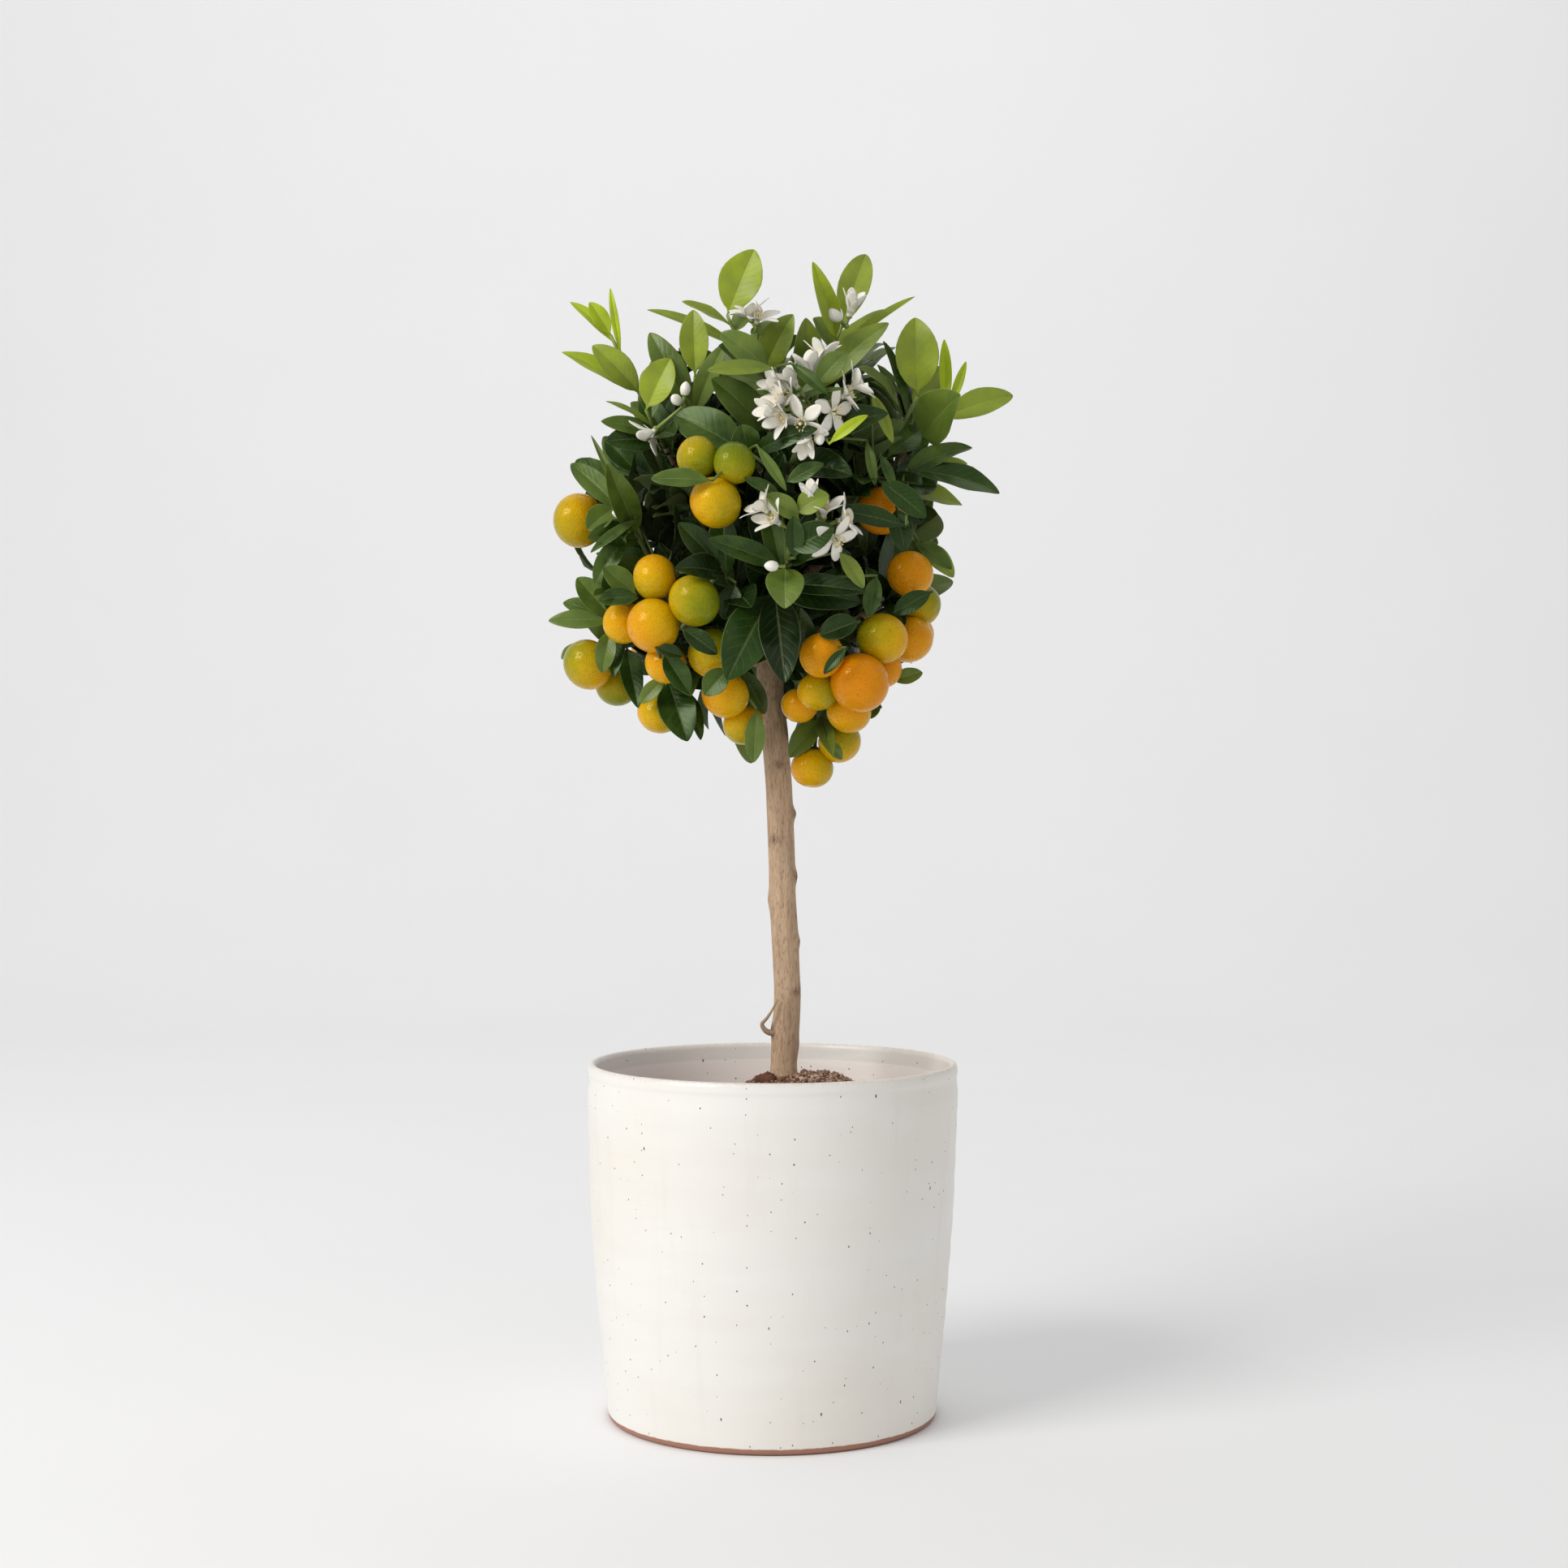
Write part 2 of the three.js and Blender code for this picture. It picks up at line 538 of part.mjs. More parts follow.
// The closed blade, from a root sunk in the stem to the tip. "spare" makes a fatter one for testing.
function leafSolid(leaf, rootT = 0, spare = 0) {
  const fat = { ...leaf, width: leaf.width * LEAF_FACETS.growth + 2 * spare };
  const lift = LEAF.thick / 2 + spare;
  const rows = [[rootT, 0], ...LEAF_FACETS.stations.flatMap((t) => [[t, -1], [t, 1]]), [1, 0]];
  const points = [lift, -lift].flatMap((side) => rows.map(([t, v]) => leafPoint(fat, t, v, side)));
  // The upper face's points: root 0, the left and right of each station, tip 5
  const upper = [[0, 2, 1], [1, 2, 4], [1, 4, 3], [3, 4, 5]];
  const rim = [0, 1, 3, 5, 4, 2];
  const under = rows.length;
  const triangles = [];
  for (const [a, b, c] of upper) {
    triangles.push(a, b, c, a + under, c + under, b + under);
  }
  rim.forEach((a, i) => {
    const b = rim[(i + 1) % rim.length];
    triangles.push(a, b, b + under, a, b + under, a + under);
  });
  return solidOf(points.flatMap((p) => p.toArray()), triangles);
}

// Ways to set one leaf: as drawn first, then turned a little further each time.
function leafTry(shootIndex, leafIndex, attempt, base, tip, width, facing) {
  const spin = 2 * Math.PI * draw(shootIndex, leafIndex, attempt);
  const swing = LEAF_FIT.swing * attempt;
  const along = tip.clone().sub(base);
  const length = along.length() * (1 - LEAF_FIT.shorten * attempt);
  along.normalize();
  const sideways = facing.clone().cross(along).normalize();
  const upright = along.clone().cross(sideways);
  along.addScaledVector(sideways, swing * Math.cos(spin));
  along.addScaledVector(upright, swing * Math.sin(spin)).normalize();
  const moved = base.clone().addScaledVector(along, length);
  const arch = LEAF.arch * (0.5 + draw(leafIndex, shootIndex, 5));
  return leafFrame(base, moved, width * (1 - LEAF_FIT.narrow * attempt), facing, arch);
}

// Where leaf number n of a shoot starts and points: drawn leaves first, then those set by rule.
function leafPlan(shoot, shootIndex, n) {
  const curve = shootCurve(shoot);
  if (n < shoot.leaves.length) {
    const [at, tip, width, face] = shoot.leaves[n];
    const base = curve.getPoint(Math.max(at - LEAF.spacing * n, TWIG.woody + 0.08));
    return { base, tip: vec(tip), width, facing: vec(FACING[face]).normalize() };
  }
  const k = n - shoot.leaves.length;
  const share = (k + 1) / (shoot.more + 0.001);
  const at = TWIG.woody + (1 - TWIG.woody) * (shoot.leaves.length ? 0.7 * share : share);
  const base = curve.getPoint(at);
  const tangent = curve.getTangent(at);
  const angle = k * 2.4 + 6.28 * draw(shootIndex, n, 1);
  const lean = 1.15 - 0.75 * share * (shoot.leaves.length ? 0.3 : 1);
  const side = tangent.clone().cross(new THREE.Vector3(0.1, 0.2, 1)).normalize();
  const other = tangent.clone().cross(side);
  const along = tangent.multiplyScalar(Math.cos(lean));
  along.addScaledVector(side, Math.sin(lean) * Math.cos(angle));
  along.addScaledVector(other, Math.sin(lean) * Math.sin(angle)).normalize();
  const length = LEAF.length * (0.82 + 0.36 * draw(shootIndex, n, 2));
  const tip = base.clone().addScaledVector(along, length);
  const outward = base.clone().sub(vec(CROWN.centre)).normalize();
  const facing = outward.add(new THREE.Vector3(0, 0, 0.7)).normalize();
  return { base, tip, width: length * LEAF.slender, facing };
}

// Does a leaf set by rule stay in the crown and off the fruit and blossom that show in front?
function sitsWell(leaf) {
  const tip = leafPoint(leaf, 1, 0, 0);
  const [cx, cy, cz] = CROWN.centre;
  const [rx, ry, rz] = CROWN.reach;
  const out = Math.hypot((tip.x - cx) / rx, (tip.y - cy) / ry, (tip.z - cz) / rz);
  if (out > 1) return false;
  const flowers = Object.values(BLOOMS).flatMap((cluster) => cluster.flowers);
  const shown = [...Object.values(FRUITS).flat(), ...flowers];
  return !shown.some(([centre]) =>
    [0.6, 1].some((t) => {
      const p = leafPoint(leaf, t, 0, 0);
      const front = centre[1] < 0 ? p.y < centre[1] + 6 : p.y > centre[1] - 6;
      return front && Math.hypot(p.x - centre[0], p.z - centre[2]) < 17;
    }),
  );
}

// Fruit and its stalks
function fruitSolid(centre, radius, towards) {
  const { around, down, flat, facetGrowth } = FRUIT;
  const geometry = new THREE.SphereGeometry(radius * facetGrowth, around, down);
  geometry.scale(1, flat / facetGrowth, 1);
  const turn = new THREE.Quaternion().setFromUnitVectors(new THREE.Vector3(0, 1, 0), towards);
  geometry.applyQuaternion(turn);
  geometry.translate(...centre.toArray());
  return solidFromGeometry(geometry);
}

function stalkSolid(from, centre, radius) {
  const towards = from.clone().sub(centre).normalize();
  const end = centre.clone().addScaledVector(towards, radius * FRUIT.flat + GAP);
  const neck = end.clone().addScaledVector(towards, STALK.calyxDepth);
  return tube([end, neck, from], [STALK.calyx, STALK.radius, STALK.radius], STALK.sides);
}

// Blossom
// An open flower as one closed shell: a pale stalk that widens into five petals.
function flowerSolid(root, centre, opening) {
  const { length, width, thick, throat, curl } = PETAL;
  const axis = centre.clone().sub(root).normalize();
  const side = axis.clone().cross(new THREE.Vector3(0.2, 0.3, 0.93)).normalize();
  const other = axis.clone().cross(side);
  const along = (distance) => centre.clone().addScaledVector(axis, distance);
  const spoke = (turns) => {
    const angle = 2 * Math.PI * turns;
    return side.clone().multiplyScalar(Math.cos(angle)).addScaledVector(other, Math.sin(angle));
  };
  const ring = (at, radius) =>
    [0, 1, 2, 3, 4].map((i) => at.clone().addScaledVector(spoke((i - 0.5) / 5), radius));
  // Each petal's left, tip and right: how far out, how far to its side, how far it curls back
  const outline = [[0.5, -width / 2, 0], [1, 0, curl], [0.5, width / 2, 0]];
  const petals = (lift) =>
    [0, 1, 2, 3, 4].flatMap((i) => {
      const out = spoke(i / 5);
      const edge = axis.clone().cross(out);
      const ahead = axis.clone().multiplyScalar(Math.cos(opening));
      ahead.addScaledVector(out, Math.sin(opening));
      const up = ahead.clone().cross(edge);
      return outline.map(([share, across, back]) => {
        const p = centre.clone().addScaledVector(ahead, throat * 0.6 + share * length);
        return p.addScaledVector(edge, across).addScaledVector(up, lift - back);
      });
    });
  const points = [
    ...ring(along(thick / 2), throat),
    ...petals(thick / 2),
    ...ring(along(-thick / 2), throat),
    ...petals(-thick / 2),
    ...ring(along(-FLOWER_STALK.neck), FLOWER_STALK.radius),
    root.clone().addScaledVector(axis, -FLOWER_STALK.radius),
    along(thick),
  ];
  const [under, neck, foot, middle] = [20, 40, 45, 46];
  const triangles = [];
  for (let i = 0; i < 5; i++) {
    const next = (i + 1) % 5;
    const [left, tip, right] = [5, 6, 7].map((k) => k + 3 * i);
    triangles.push(middle, i, next);
    for (const [a, b, c] of [[i, left, right], [i, right, next], [left, tip, right]]) {
      triangles.push(a, b, c, a + under, c + under, b + under);
    }
    for (const [a, b] of [[i, left], [left, tip], [tip, right], [right, next]]) {
      triangles.push(b, a, a + under, b, a + under, b + under);
    }
    triangles.push(under + i, neck + i, neck + next, under + i, neck + next, under + next);
    triangles.push(neck + i, foot, neck + next);
  }
  return solidOf(points.flatMap((p) => p.toArray()), triangles);
}

// A bud on its stalk
function budSolid(root, base) {
  const axis = base.clone().sub(root).normalize();
  const foot = root.clone().addScaledVector(axis, -FLOWER_STALK.radius);
  const steps = [[0, 0.42], [0.35, 1], [0.7, 0.85], [1, 0]];
  const points = steps.map(([t]) => base.clone().addScaledVector(axis, t * BUD.length));
  return tube([foot, ...points], [0, ...steps.map(([, share]) => share * BUD.radius)], 5);
}

// A cluster's white parts, joined by a small knuckle where their stalks meet
function bloomSolid({ heart, flowers }) {
  const root = vec(heart);
  const heads = flowers.map(([at, opening]) =>
    opening ? flowerSolid(root, vec(at), THREE.MathUtils.degToRad(opening)) : budSolid(root, vec(at)),
  );
  if (heads.length === 1) return heads[0];
  const knuckle = new THREE.OctahedronGeometry(FLOWER_STALK.knuckle).translate(...heart);
  return join([solidFromGeometry(knuckle), ...heads]);
}

// The green stalk from a shoot to just short of its cluster
function pedicelSolid(from, { heart, flowers }) {
  const single = flowers.length === 1;
  const root = vec(heart);
  const foot = root.clone();
  if (single) foot.addScaledVector(vec(flowers[0][0]).sub(root).normalize(), -FLOWER_STALK.radius);
  const towards = from.clone().sub(foot).normalize();
  const end = foot.addScaledVector(towards, GAP + (single ? 0.1 : FLOWER_STALK.knuckle));
  return tube([end, from], [1.2, 1.1], 3);
}

// Assembly
const curves = Object.fromEntries(SHOOTS.map((shoot) => [shoot.name, shootCurve(shoot)]));
const tree = new THREE.Group();

function place(name, solid, look, tint = null, share = 0) {
  const material = new THREE.MeshStandardMaterial(LOOKS[look]);
  if (tint) material.color.lerp(new THREE.Color(tint), share);
  const mesh = new THREE.Mesh(geometryOf(solid), material);
  mesh.name = name;
  tree.add(mesh);
}

const fixed = { wood: woodSolid() };
const greens = {};
for (const shoot of SHOOTS) {
  const curve = curves[shoot.name];
  const length = curve.getLength();
  const start = TWIG.woody + (GAP + 0.05) / length;
  const points = [0, 0.5, 1].map((share) => curve.getPoint(start + (1 - start) * share));
  greens[shoot.name] = tube(points, [TWIG.end, 1.5, 1.2], TWIG.sides);
}
for (const [name, cluster] of Object.entries(FRUITS)) {
  const fruits = cluster.map(([at, radius, shoot, along]) => {
    const centre = vec(at);
    const from = curves[shoot].getPoint(along);
    greens[shoot] = greens[shoot].add(stalkSolid(from, centre, radius));
    return fruitSolid(centre, radius, from.clone().sub(centre).normalize());
  });
  fixed[`fruit_${name}`] = join(fruits);
}
for (const [name, cluster] of Object.entries(BLOOMS)) {
  const from = curves[cluster.shoot].getPoint(cluster.at);
  greens[cluster.shoot] = greens[cluster.shoot].add(pedicelSolid(from, cluster));
  fixed[`bloom_${name}`] = bloomSolid(cluster);
}

// Leaves go on one by one, each in the first setting that clears all that is there.
function boxesMeet(a, b) {
  return [0, 1, 2].every((k) => a.min[k] <= b.max[k] && b.min[k] <= a.max[k]);
}

const standing = [];

function stand(owner, solid) {
  standing.push({ owner, solid, box: solid.boundingBox() });
}

for (const [owner, solid] of Object.entries({ ...fixed, ...greens })) stand(owner, solid);

function isClear(owner, leaf) {
  const whole = leafSolid(leaf, 0, LEAF_FIT.spare);
  const outer = leafSolid(leaf, LEAF_FIT.sunk, 0);
  const box = whole.boundingBox();
  return standing.every((other) => {
    if (!boxesMeet(box, other.box)) return true;
    const probe = other.owner === owner ? outer : whole;
    return probe.intersect(other.solid).isEmpty();
  });
}

// Adds leaf number n of a shoot, or leaves it out where no setting is clear.
function addLeaf(shoot, shootIndex, n) {
  const { base, tip, width, facing } = leafPlan(shoot, shootIndex, n);
  const byRule = n >= shoot.leaves.length;
  for (let attempt = 0; attempt < LEAF_FIT.tries; attempt++) {
    const leaf = leafTry(shootIndex, n, attempt, base, tip, width, facing);
    if (byRule && !sitsWell(leaf)) continue;
    if (!isClear(shoot.name, leaf)) continue;
    const solid = leafSolid(leaf);
    greens[shoot.name] = greens[shoot.name].add(solid);
    stand(shoot.name, solid);
    return;
  }
}

const leafCount = (shoot) => shoot.leaves.length + shoot.more;
for (let n = 0; n < Math.max(...SHOOTS.map(leafCount)); n++) {
  SHOOTS.forEach((shoot, shootIndex) => {
    if (n < leafCount(shoot)) addLeaf(shoot, shootIndex, n);
  });
}

place("pot", potSolid(), "pot");
place("soil", soilSolid(trunkSolid(GAP)), "soil");
place("trunk_and_limbs", fixed.wood, "wood");
for (const { name, tip } of SHOOTS) {
  const youth = THREE.MathUtils.smoothstep(tip[2], 520, 700);
  place(`shoot_${name}`, greens[name], "leaf", YOUNG_LEAF, youth);
}
for (const name of Object.keys(FRUITS)) {
  place(`fruit_${name}`, fixed[`fruit_${name}`], "fruit", RIPE_FRUIT, RIPENESS[name]);
}
for (const name of Object.keys(BLOOMS)) {
  place(`bloom_${name}`, fixed[`bloom_${name}`], "bloom");
}

export default tree;
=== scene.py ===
"""The looks of a calamondin tree grown as a small standard in a glazed pot.

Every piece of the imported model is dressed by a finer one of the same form: a thrown pot with a
speckled glaze, granular soil, fibrous bark, veined leaves, dimpled fruit and waxy blossom. Short
side sprigs fill the crown. The tables are in millimetres, in the model's own frame.
"""

import math

import bpy
import numpy as np
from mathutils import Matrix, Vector


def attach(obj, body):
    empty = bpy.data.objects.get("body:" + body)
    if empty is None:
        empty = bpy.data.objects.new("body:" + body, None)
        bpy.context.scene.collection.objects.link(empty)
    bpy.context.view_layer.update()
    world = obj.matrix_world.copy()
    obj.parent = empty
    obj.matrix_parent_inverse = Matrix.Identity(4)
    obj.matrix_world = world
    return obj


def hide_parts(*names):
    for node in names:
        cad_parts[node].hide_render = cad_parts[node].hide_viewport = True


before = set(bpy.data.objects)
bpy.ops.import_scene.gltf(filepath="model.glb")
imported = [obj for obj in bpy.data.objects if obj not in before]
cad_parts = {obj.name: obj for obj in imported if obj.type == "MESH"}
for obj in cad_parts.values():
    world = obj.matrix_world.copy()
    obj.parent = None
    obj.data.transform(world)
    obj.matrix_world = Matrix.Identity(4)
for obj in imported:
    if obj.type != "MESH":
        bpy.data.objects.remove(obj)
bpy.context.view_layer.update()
MM = 0.001

# Sizes and places
GAP = 0.3
POT = {"height": 223, "rim": 117.5, "foot": 104, "wall": 5.5, "floor": 9}
SOIL = {"edge": 192, "mound": 22.0, "spread": 44, "centre": (19, 0), "clear": 1.2, "crumbs": 4200}
# Clods on the soil: place, size, tint
CLODS = [(-3, -9, 5.0, 0.34), (-7, -4, 4.2, 0.30), (-1, -14, 3.6, 0.36), (20, -10, 3.0, 0.5)]
TRUNK = {"radius": 8.35, "top": 5.5}
LIMB_RADII = {"leader": (5.5, 2.7), "others": (4.6, 2.7)}
WOODY = 0.45  # share of a shoot that is wood
LEAF = {"arch": 0.5, "fold": 0.36, "length": 46, "slender": 0.44, "spacing": 0.03, "half_thick": 0.45}
LEAF_TRIES = {"count": 14, "swing": 0.055, "shorten": 0.015, "narrow": 0.02}
FLAT_FRUIT = 0.93
# Search for room beside a drawn leaf: tries, how much further each, room that will do and that is
# enough, and how far off fruit
PLACING = {"tries": 40, "step": 0.45, "least": 0.8, "enough": 1.9, "off_fruit": 0.4}
# What a leaf in a side sprig keeps to: share of the crown's reach, heights, and how far off others
ROOM = {"reach": 0.98, "low": 415, "high": 716, "off_fruit": 1.5, "off_heads": 0, "off_leaves": 2.3}
# Leaves get limier up between two heights, out between two distances, and down between two heights
LIMIER = {"up": (565, 722), "out": (82, 130), "down": (480, 430)}
CROWN_CENTRE = np.array([0.0, 0.0, 567.0])
CROWN_REACH = np.array([132.0, 118.0, 150.0])
EYE = {"place": (7.5, -1566, 399), "lens": 56.6}

TRUNK_LINE = [
    (7, 0, 120), (7, 0, 190), (7.4, 0, 211), (8.8, 0, 251), (9.2, 0, 275), (8.4, 0, 299), (7, 0, 330),
    (5, 0, 364), (4, 0, 400), (2, 0, 434), (-1, 0, 456), (-2, 0, 474), (-1, 2, 502), (0, 3, 530),
]
# Bumps and scars on the stem: height, direction round it in degrees from the front, how proud, how
# tall
TRUNK_BUMPS = [
    (411, 8, 0.9, 6), (380, 82, 2.0, 4), (364, -24, 0.9, 5), (340, 80, 1.6, 5), (326, -100, 1.2, 6),
    (299, 88, 1.1, 4), (268, 42, 1.2, 6), (243, -75, 1.6, 6), (233, 120, 1.0, 6), (430, 160, 1.4, 6),
    (352, 180, 1.6, 7), (284, 200, 1.6, 6),
]
SPUR_LINE = [(3, -3, 241), (-3.5, -6, 242.5), (-6.4, -7.5, 247), (-3, -9, 251.5), (0.4, -9.8, 257),
             (3.4, -10.4, 263)]

LIMBS = {
    "leader": ((0, 3, 525), (0, 0, 640), (4, 4, 0)),
    "left_low": ((-2, 0, 476), (-72, -20, 506), (0, 0, -8)),
    "left_up": ((-1, 2, 505), (-62, -18, 608), (-12, 0, -8)),
    "right_low": ((-1, 0, 481), (62, -14, 508), (0, 0, -9)),
    "right_up": ((0, 2, 510), (68, -14, 603), (12, 0, -8)),
    "front_low": ((-2, 0, 486), (-8, -56, 504), (0, 0, -5)),
    "front_up": ((-1, 1, 500), (-2, -56, 586), (0, -10, -8)),
    "back_low": ((-1, 3, 484), (4, 60, 502), (0, 0, -6)),
    "back_up": ((0, 3, 508), (4, 62, 596), (0, 10, -8)),
    "back_left": ((-1, 2, 495), (-58, 48, 556), (-8, 6, -8)),
    "back_right": ((0, 2, 498), (60, 48, 556), (8, 6, -8)),
}

# Shoots: limb, place on it, tip, leaves added by rule, drawn leaves as (how far along the shoot,
# leaf tip, width, which way the upper face looks if not to the front)
SHOOTS = {
    "top_tall": ("leader", 1.0, (-28, -24, 692), 1, [
        (1, (-11, -30, 732), 26), (0.93, (-56, -30, 700), 8, "up"), (0.7, (-79, -10, 699), 9, "up")]),
    "top_bloom": ("leader", 0.85, (-10, -36, 683), 1, [
        (0.6, (13, -44, 689), 21), (0.6, (-24, -24, 677), 17), (0.5, (-32, -80, 663), 18)]),
    "right_bloom": ("leader", 0.7, (44, -36, 684), 1, [
        (0.9, (24, -78, 720), 18), (1, (60, -16, 727), 20), (0.6, (21, -56, 684), 19),
        (0.62, (72, -48, 683), 18), (0.85, (89, -30, 703), 7, "up"), (0.75, (71, -6, 700), 12, "up")]),
    "right_tall": ("right_up", 1.0, (91, -26, 641), 1, [
        (1, (89, -34, 689), 28), (0.75, (69, -30, 675), 9, "right"), (0.9, (107, -6, 663), 15),
        (0.7, (54, -50, 656), 15, "up")]),
    "right_young": ("right_up", 0.85, (116, -24, 638), 1, [
        (0.6, (115, -60, 637), 31), (0.85, (151, -26, 642), 18), (0.93, (108, -20, 678), 8),
        (1, (121, -22, 665), 6), (0.97, (138, -22, 640), 5, "up")]),
    "right_wide": ("right_up", 0.6, (83, -44, 593), 1, [
        (1, (141, -46, 579), 18, "up"), (0.9, (125, -30, 610), 15, "up"), (0.8, (123, -16, 601), 14, "up"),
        (0.8, (120, -20, 575), 16, "up"), (0.75, (93, -46, 560), 19), (0.6, (71, -40, 582), 8)]),
    "left_young": ("left_up", 1.0, (-101, -22, 680), 1, [
        (1, (-114, -26, 700), 11), (0.96, (-127, -16, 702), 8, "up"), (0.9, (-104, -24, 710), 5),
        (0.5, (-112, -28, 673), 18), (0.5, (-132, -20, 670), 13, "up")]),
    "left_spray": ("left_up", 0.9, (-77, -56, 628), 2, [
        (1, (-62, -62, 659), 21), (0.85, (-76, -34, 658), 15), (0.7, (-105, -50, 622), 11),
        (0.8, (-102, -52, 634), 7, "right"), (0.6, (-102, -52, 610), 17)]),
    "upper_left": ("left_up", 0.75, (-47, -54, 649), 1, [
        (1, (-48, -60, 689), 18), (0.75, (-76, -40, 679), 18), (0.85, (-64, -62, 664), 8),
        (0.8, (-29, -72, 666), 14)]),
    "upper_mid": ("front_up", 0.7, (-1, -72, 649), 1, [
        (1, (-31, -76, 672), 17), (0.95, (-38, -92, 646), 13, "up"), (0.7, (-36, -84, 643), 22),
        (0.8, (43, -122, 630), 9, "up"), (0.8, (39, -72, 659), 17)]),
    "front_left": ("front_up", 1.0, (-14, -88, 598), 1, [
        (0.9, (-59, -72, 623), 26), (1, (-18, -92, 614), 17), (0.95, (27, -112, 609), 13),
        (0.6, (-35, -86, 580), 12, "up"), (0.8, (-4, -94, 595), 7)]),
    "big_bloom": ("front_up", 0.85, (24, -84, 615), 1, [
        (0.9, (70, -94, 623), 19), (0.7, (55, -92, 615), 6, "up"), (0.6, (48, -100, 583), 21)]),
    "left_mid": ("left_low", 0.6, (-89, -52, 563), 1, [
        (1, (-125, -34, 598), 15), (0.9, (-98, -94, 590), 18), (0.9, (-112, -66, 549), 19),
        (0.8, (-112, -40, 615), 6), (0.7, (-108, -50, 541), 11), (0.6, (-107, -44, 523), 16),
        (0.75, (-59, -82, 568), 9, "right")]),
    "centre_left": ("front_low", 0.6, (-31, -88, 530), 2, [
        (1, (-55, -102, 554), 16), (0.9, (-56, -118, 526), 18), (0.7, (-12, -106, 504), 18)]),
    "centre_bloom": ("front_low", 0.95, (10, -106, 532), 0, [
        (0.5, (-26, -118, 460), 29), (0.5, (8, -124, 458), 24), (0.95, (8, -122, 502), 22),
        (0.97, (-37, -116, 543), 15), (1, (36, -112, 550), 17), (0.9, (24, -88, 561), 15),
        (0.98, (-4, -104, 568), 15), (1, (35, -100, 570), 13), (0.85, (56, -106, 513), 14),
        (0.6, (54, -92, 508), 23)]),
    "left_low": ("left_low", 1.0, (-100, -50, 499), 1, [
        (0.9, (-120, -48, 526), 18), (0.75, (-100, -62, 531), 17), (0.7, (-105, -102, 512), 12, "up"),
        (1, (-138, -46, 500), 12), (0.95, (-130, -38, 512), 12), (1, (-96, -66, 464), 13)]),
    "lower_left": ("left_low", 0.8, (-101, -26, 483), 2, [
        (1, (-135, 4, 480), 12), (0.8, (-82, -56, 446), 14)]),
    "bottom_left": ("left_low", 0.6, (-64, -50, 463), 1, [
        (1, (-51, -72, 425), 23), (0.95, (-43, -52, 426), 11, "right"), (0.9, (-83, -18, 448), 11),
        (0.7, (-49, -78, 453), 18)]),
    "bottom_mid": ("front_low", 0.35, (-26, -62, 467), 2, [
        (0.8, (-42, -52, 451), 17), (1, (-13, -6, 412), 16), (0.8, (-4, -40, 442), 13)]),
    "right_upper": ("right_up", 0.45, (62, -44, 592), 2, [
        (0.8, (40, -100, 562), 21), (1, (79, -50, 534), 18), (0.6, (82, -96, 557), 19)]),
    "right_side": ("right_low", 0.9, (74, -26, 515), 2, [
        (0.8, (115, 0, 528), 17), (0.7, (100, -34, 549), 17), (1, (98, -74, 515), 15),
        (0.8, (58, -66, 530), 13)]),
    "right_low": ("right_low", 0.75, (59, -52, 479), 1, [
        (0.8, (29, -88, 490), 16), (1, (88, -12, 475), 12, "up"), (0.7, (54, -60, 501), 17)]),
    "low_right": ("front_low", 0.5, (27, -60, 481), 1, [
        (0.7, (17, -86, 505), 18), (1, (30, -54, 461), 8, "right"), (0.8, (68, -40, 446), 9)]),
    "bottom_right": ("right_low", 0.4, (30, -34, 440), 1, [
        (1, (12, -46, 414), 15), (1, (37, -74, 416), 9), (0.7, (16, -24, 438), 12)]),
    "right_far": ("back_right", 0.9, (88, 34, 558), 8, []),
    "back_top": ("leader", 0.9, (8, 42, 684), 8, []),
    "back_left_up": ("back_left", 1.0, (-76, 62, 634), 9, []),
    "back_right_up": ("back_right", 1.0, (78, 60, 636), 9, []),
    "back_mid": ("back_up", 1.0, (2, 92, 612), 9, []),
    "back_left_low": ("back_left", 0.8, (-88, 58, 528), 8, []),
    "back_right_low": ("back_right", 0.75, (84, 62, 524), 8, []),
    "back_low": ("back_low", 1.0, (4, 82, 492), 8, []),
}
FACING = {"front": (0, -1, 0.25), "up": (0, -0.35, 1), "right": (1, -0.3, 0.2)}
# Drawn leaves still lime green, by their number in the shoot
TENDER = {"left_young": (0, 1, 2), "right_young": (2, 3, 4), "big_bloom": (1,)}
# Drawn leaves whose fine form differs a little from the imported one: how far the tip is moved, and
# the share of the width that is kept
REDRAWN = {("right_bloom", 0): ((1, 0, -6), 0.72), ("right_bloom", 1): ((-1, 0, 6), 1.0)}
# As seen on the photo, leaves set by rule stay under a height over the eye, and left of lines on
# the right that each hold from one height up; right of the low corner they stay above it
TOP_LINE = 281
RIGHT_LINES = ((50, 84), (165, 98))
LOW_CORNER = (50, 72)
# How much limier or, below 0, darker the drawn leaves of a shoot are than their place says: partly
# their own age, partly painted light and shade, limier where a leaf is lit or sheened, darker where shaded
AGE_AND_LIGHT_SHIFTS = {
    "top_tall": (0.24, 0.15, 0.15), "top_bloom": (0.04,), "right_bloom": (0.22, 0.08, 0, 0, 0.1),
    "right_tall": (0.12, -0.2), "right_young": (-0.08,), "left_young": (0, 0, 0, -0.02, -0.02),
    "right_wide": (-0.22, -0.18, 0.2, 0.35, -0.25, 0.25), "left_spray": (0.42, -0.05, -0.1, 0.1, -0.15),
    "upper_left": (0.12, -0.02), "big_bloom": (-0.2, 0, -0.1), "left_mid": (-0.1, 0.1),
    "centre_bloom": (-0.02, -0.18, 0.4, 0.06, 0, 0.22, 0.22), "left_low": (0, 0, 0, -0.05),
    "bottom_left": (-0.1,), "bottom_mid": (0, 0.15), "bottom_right": (0.22, 0.22, 0.22),
    "right_side": (0.2, 0.15),
}
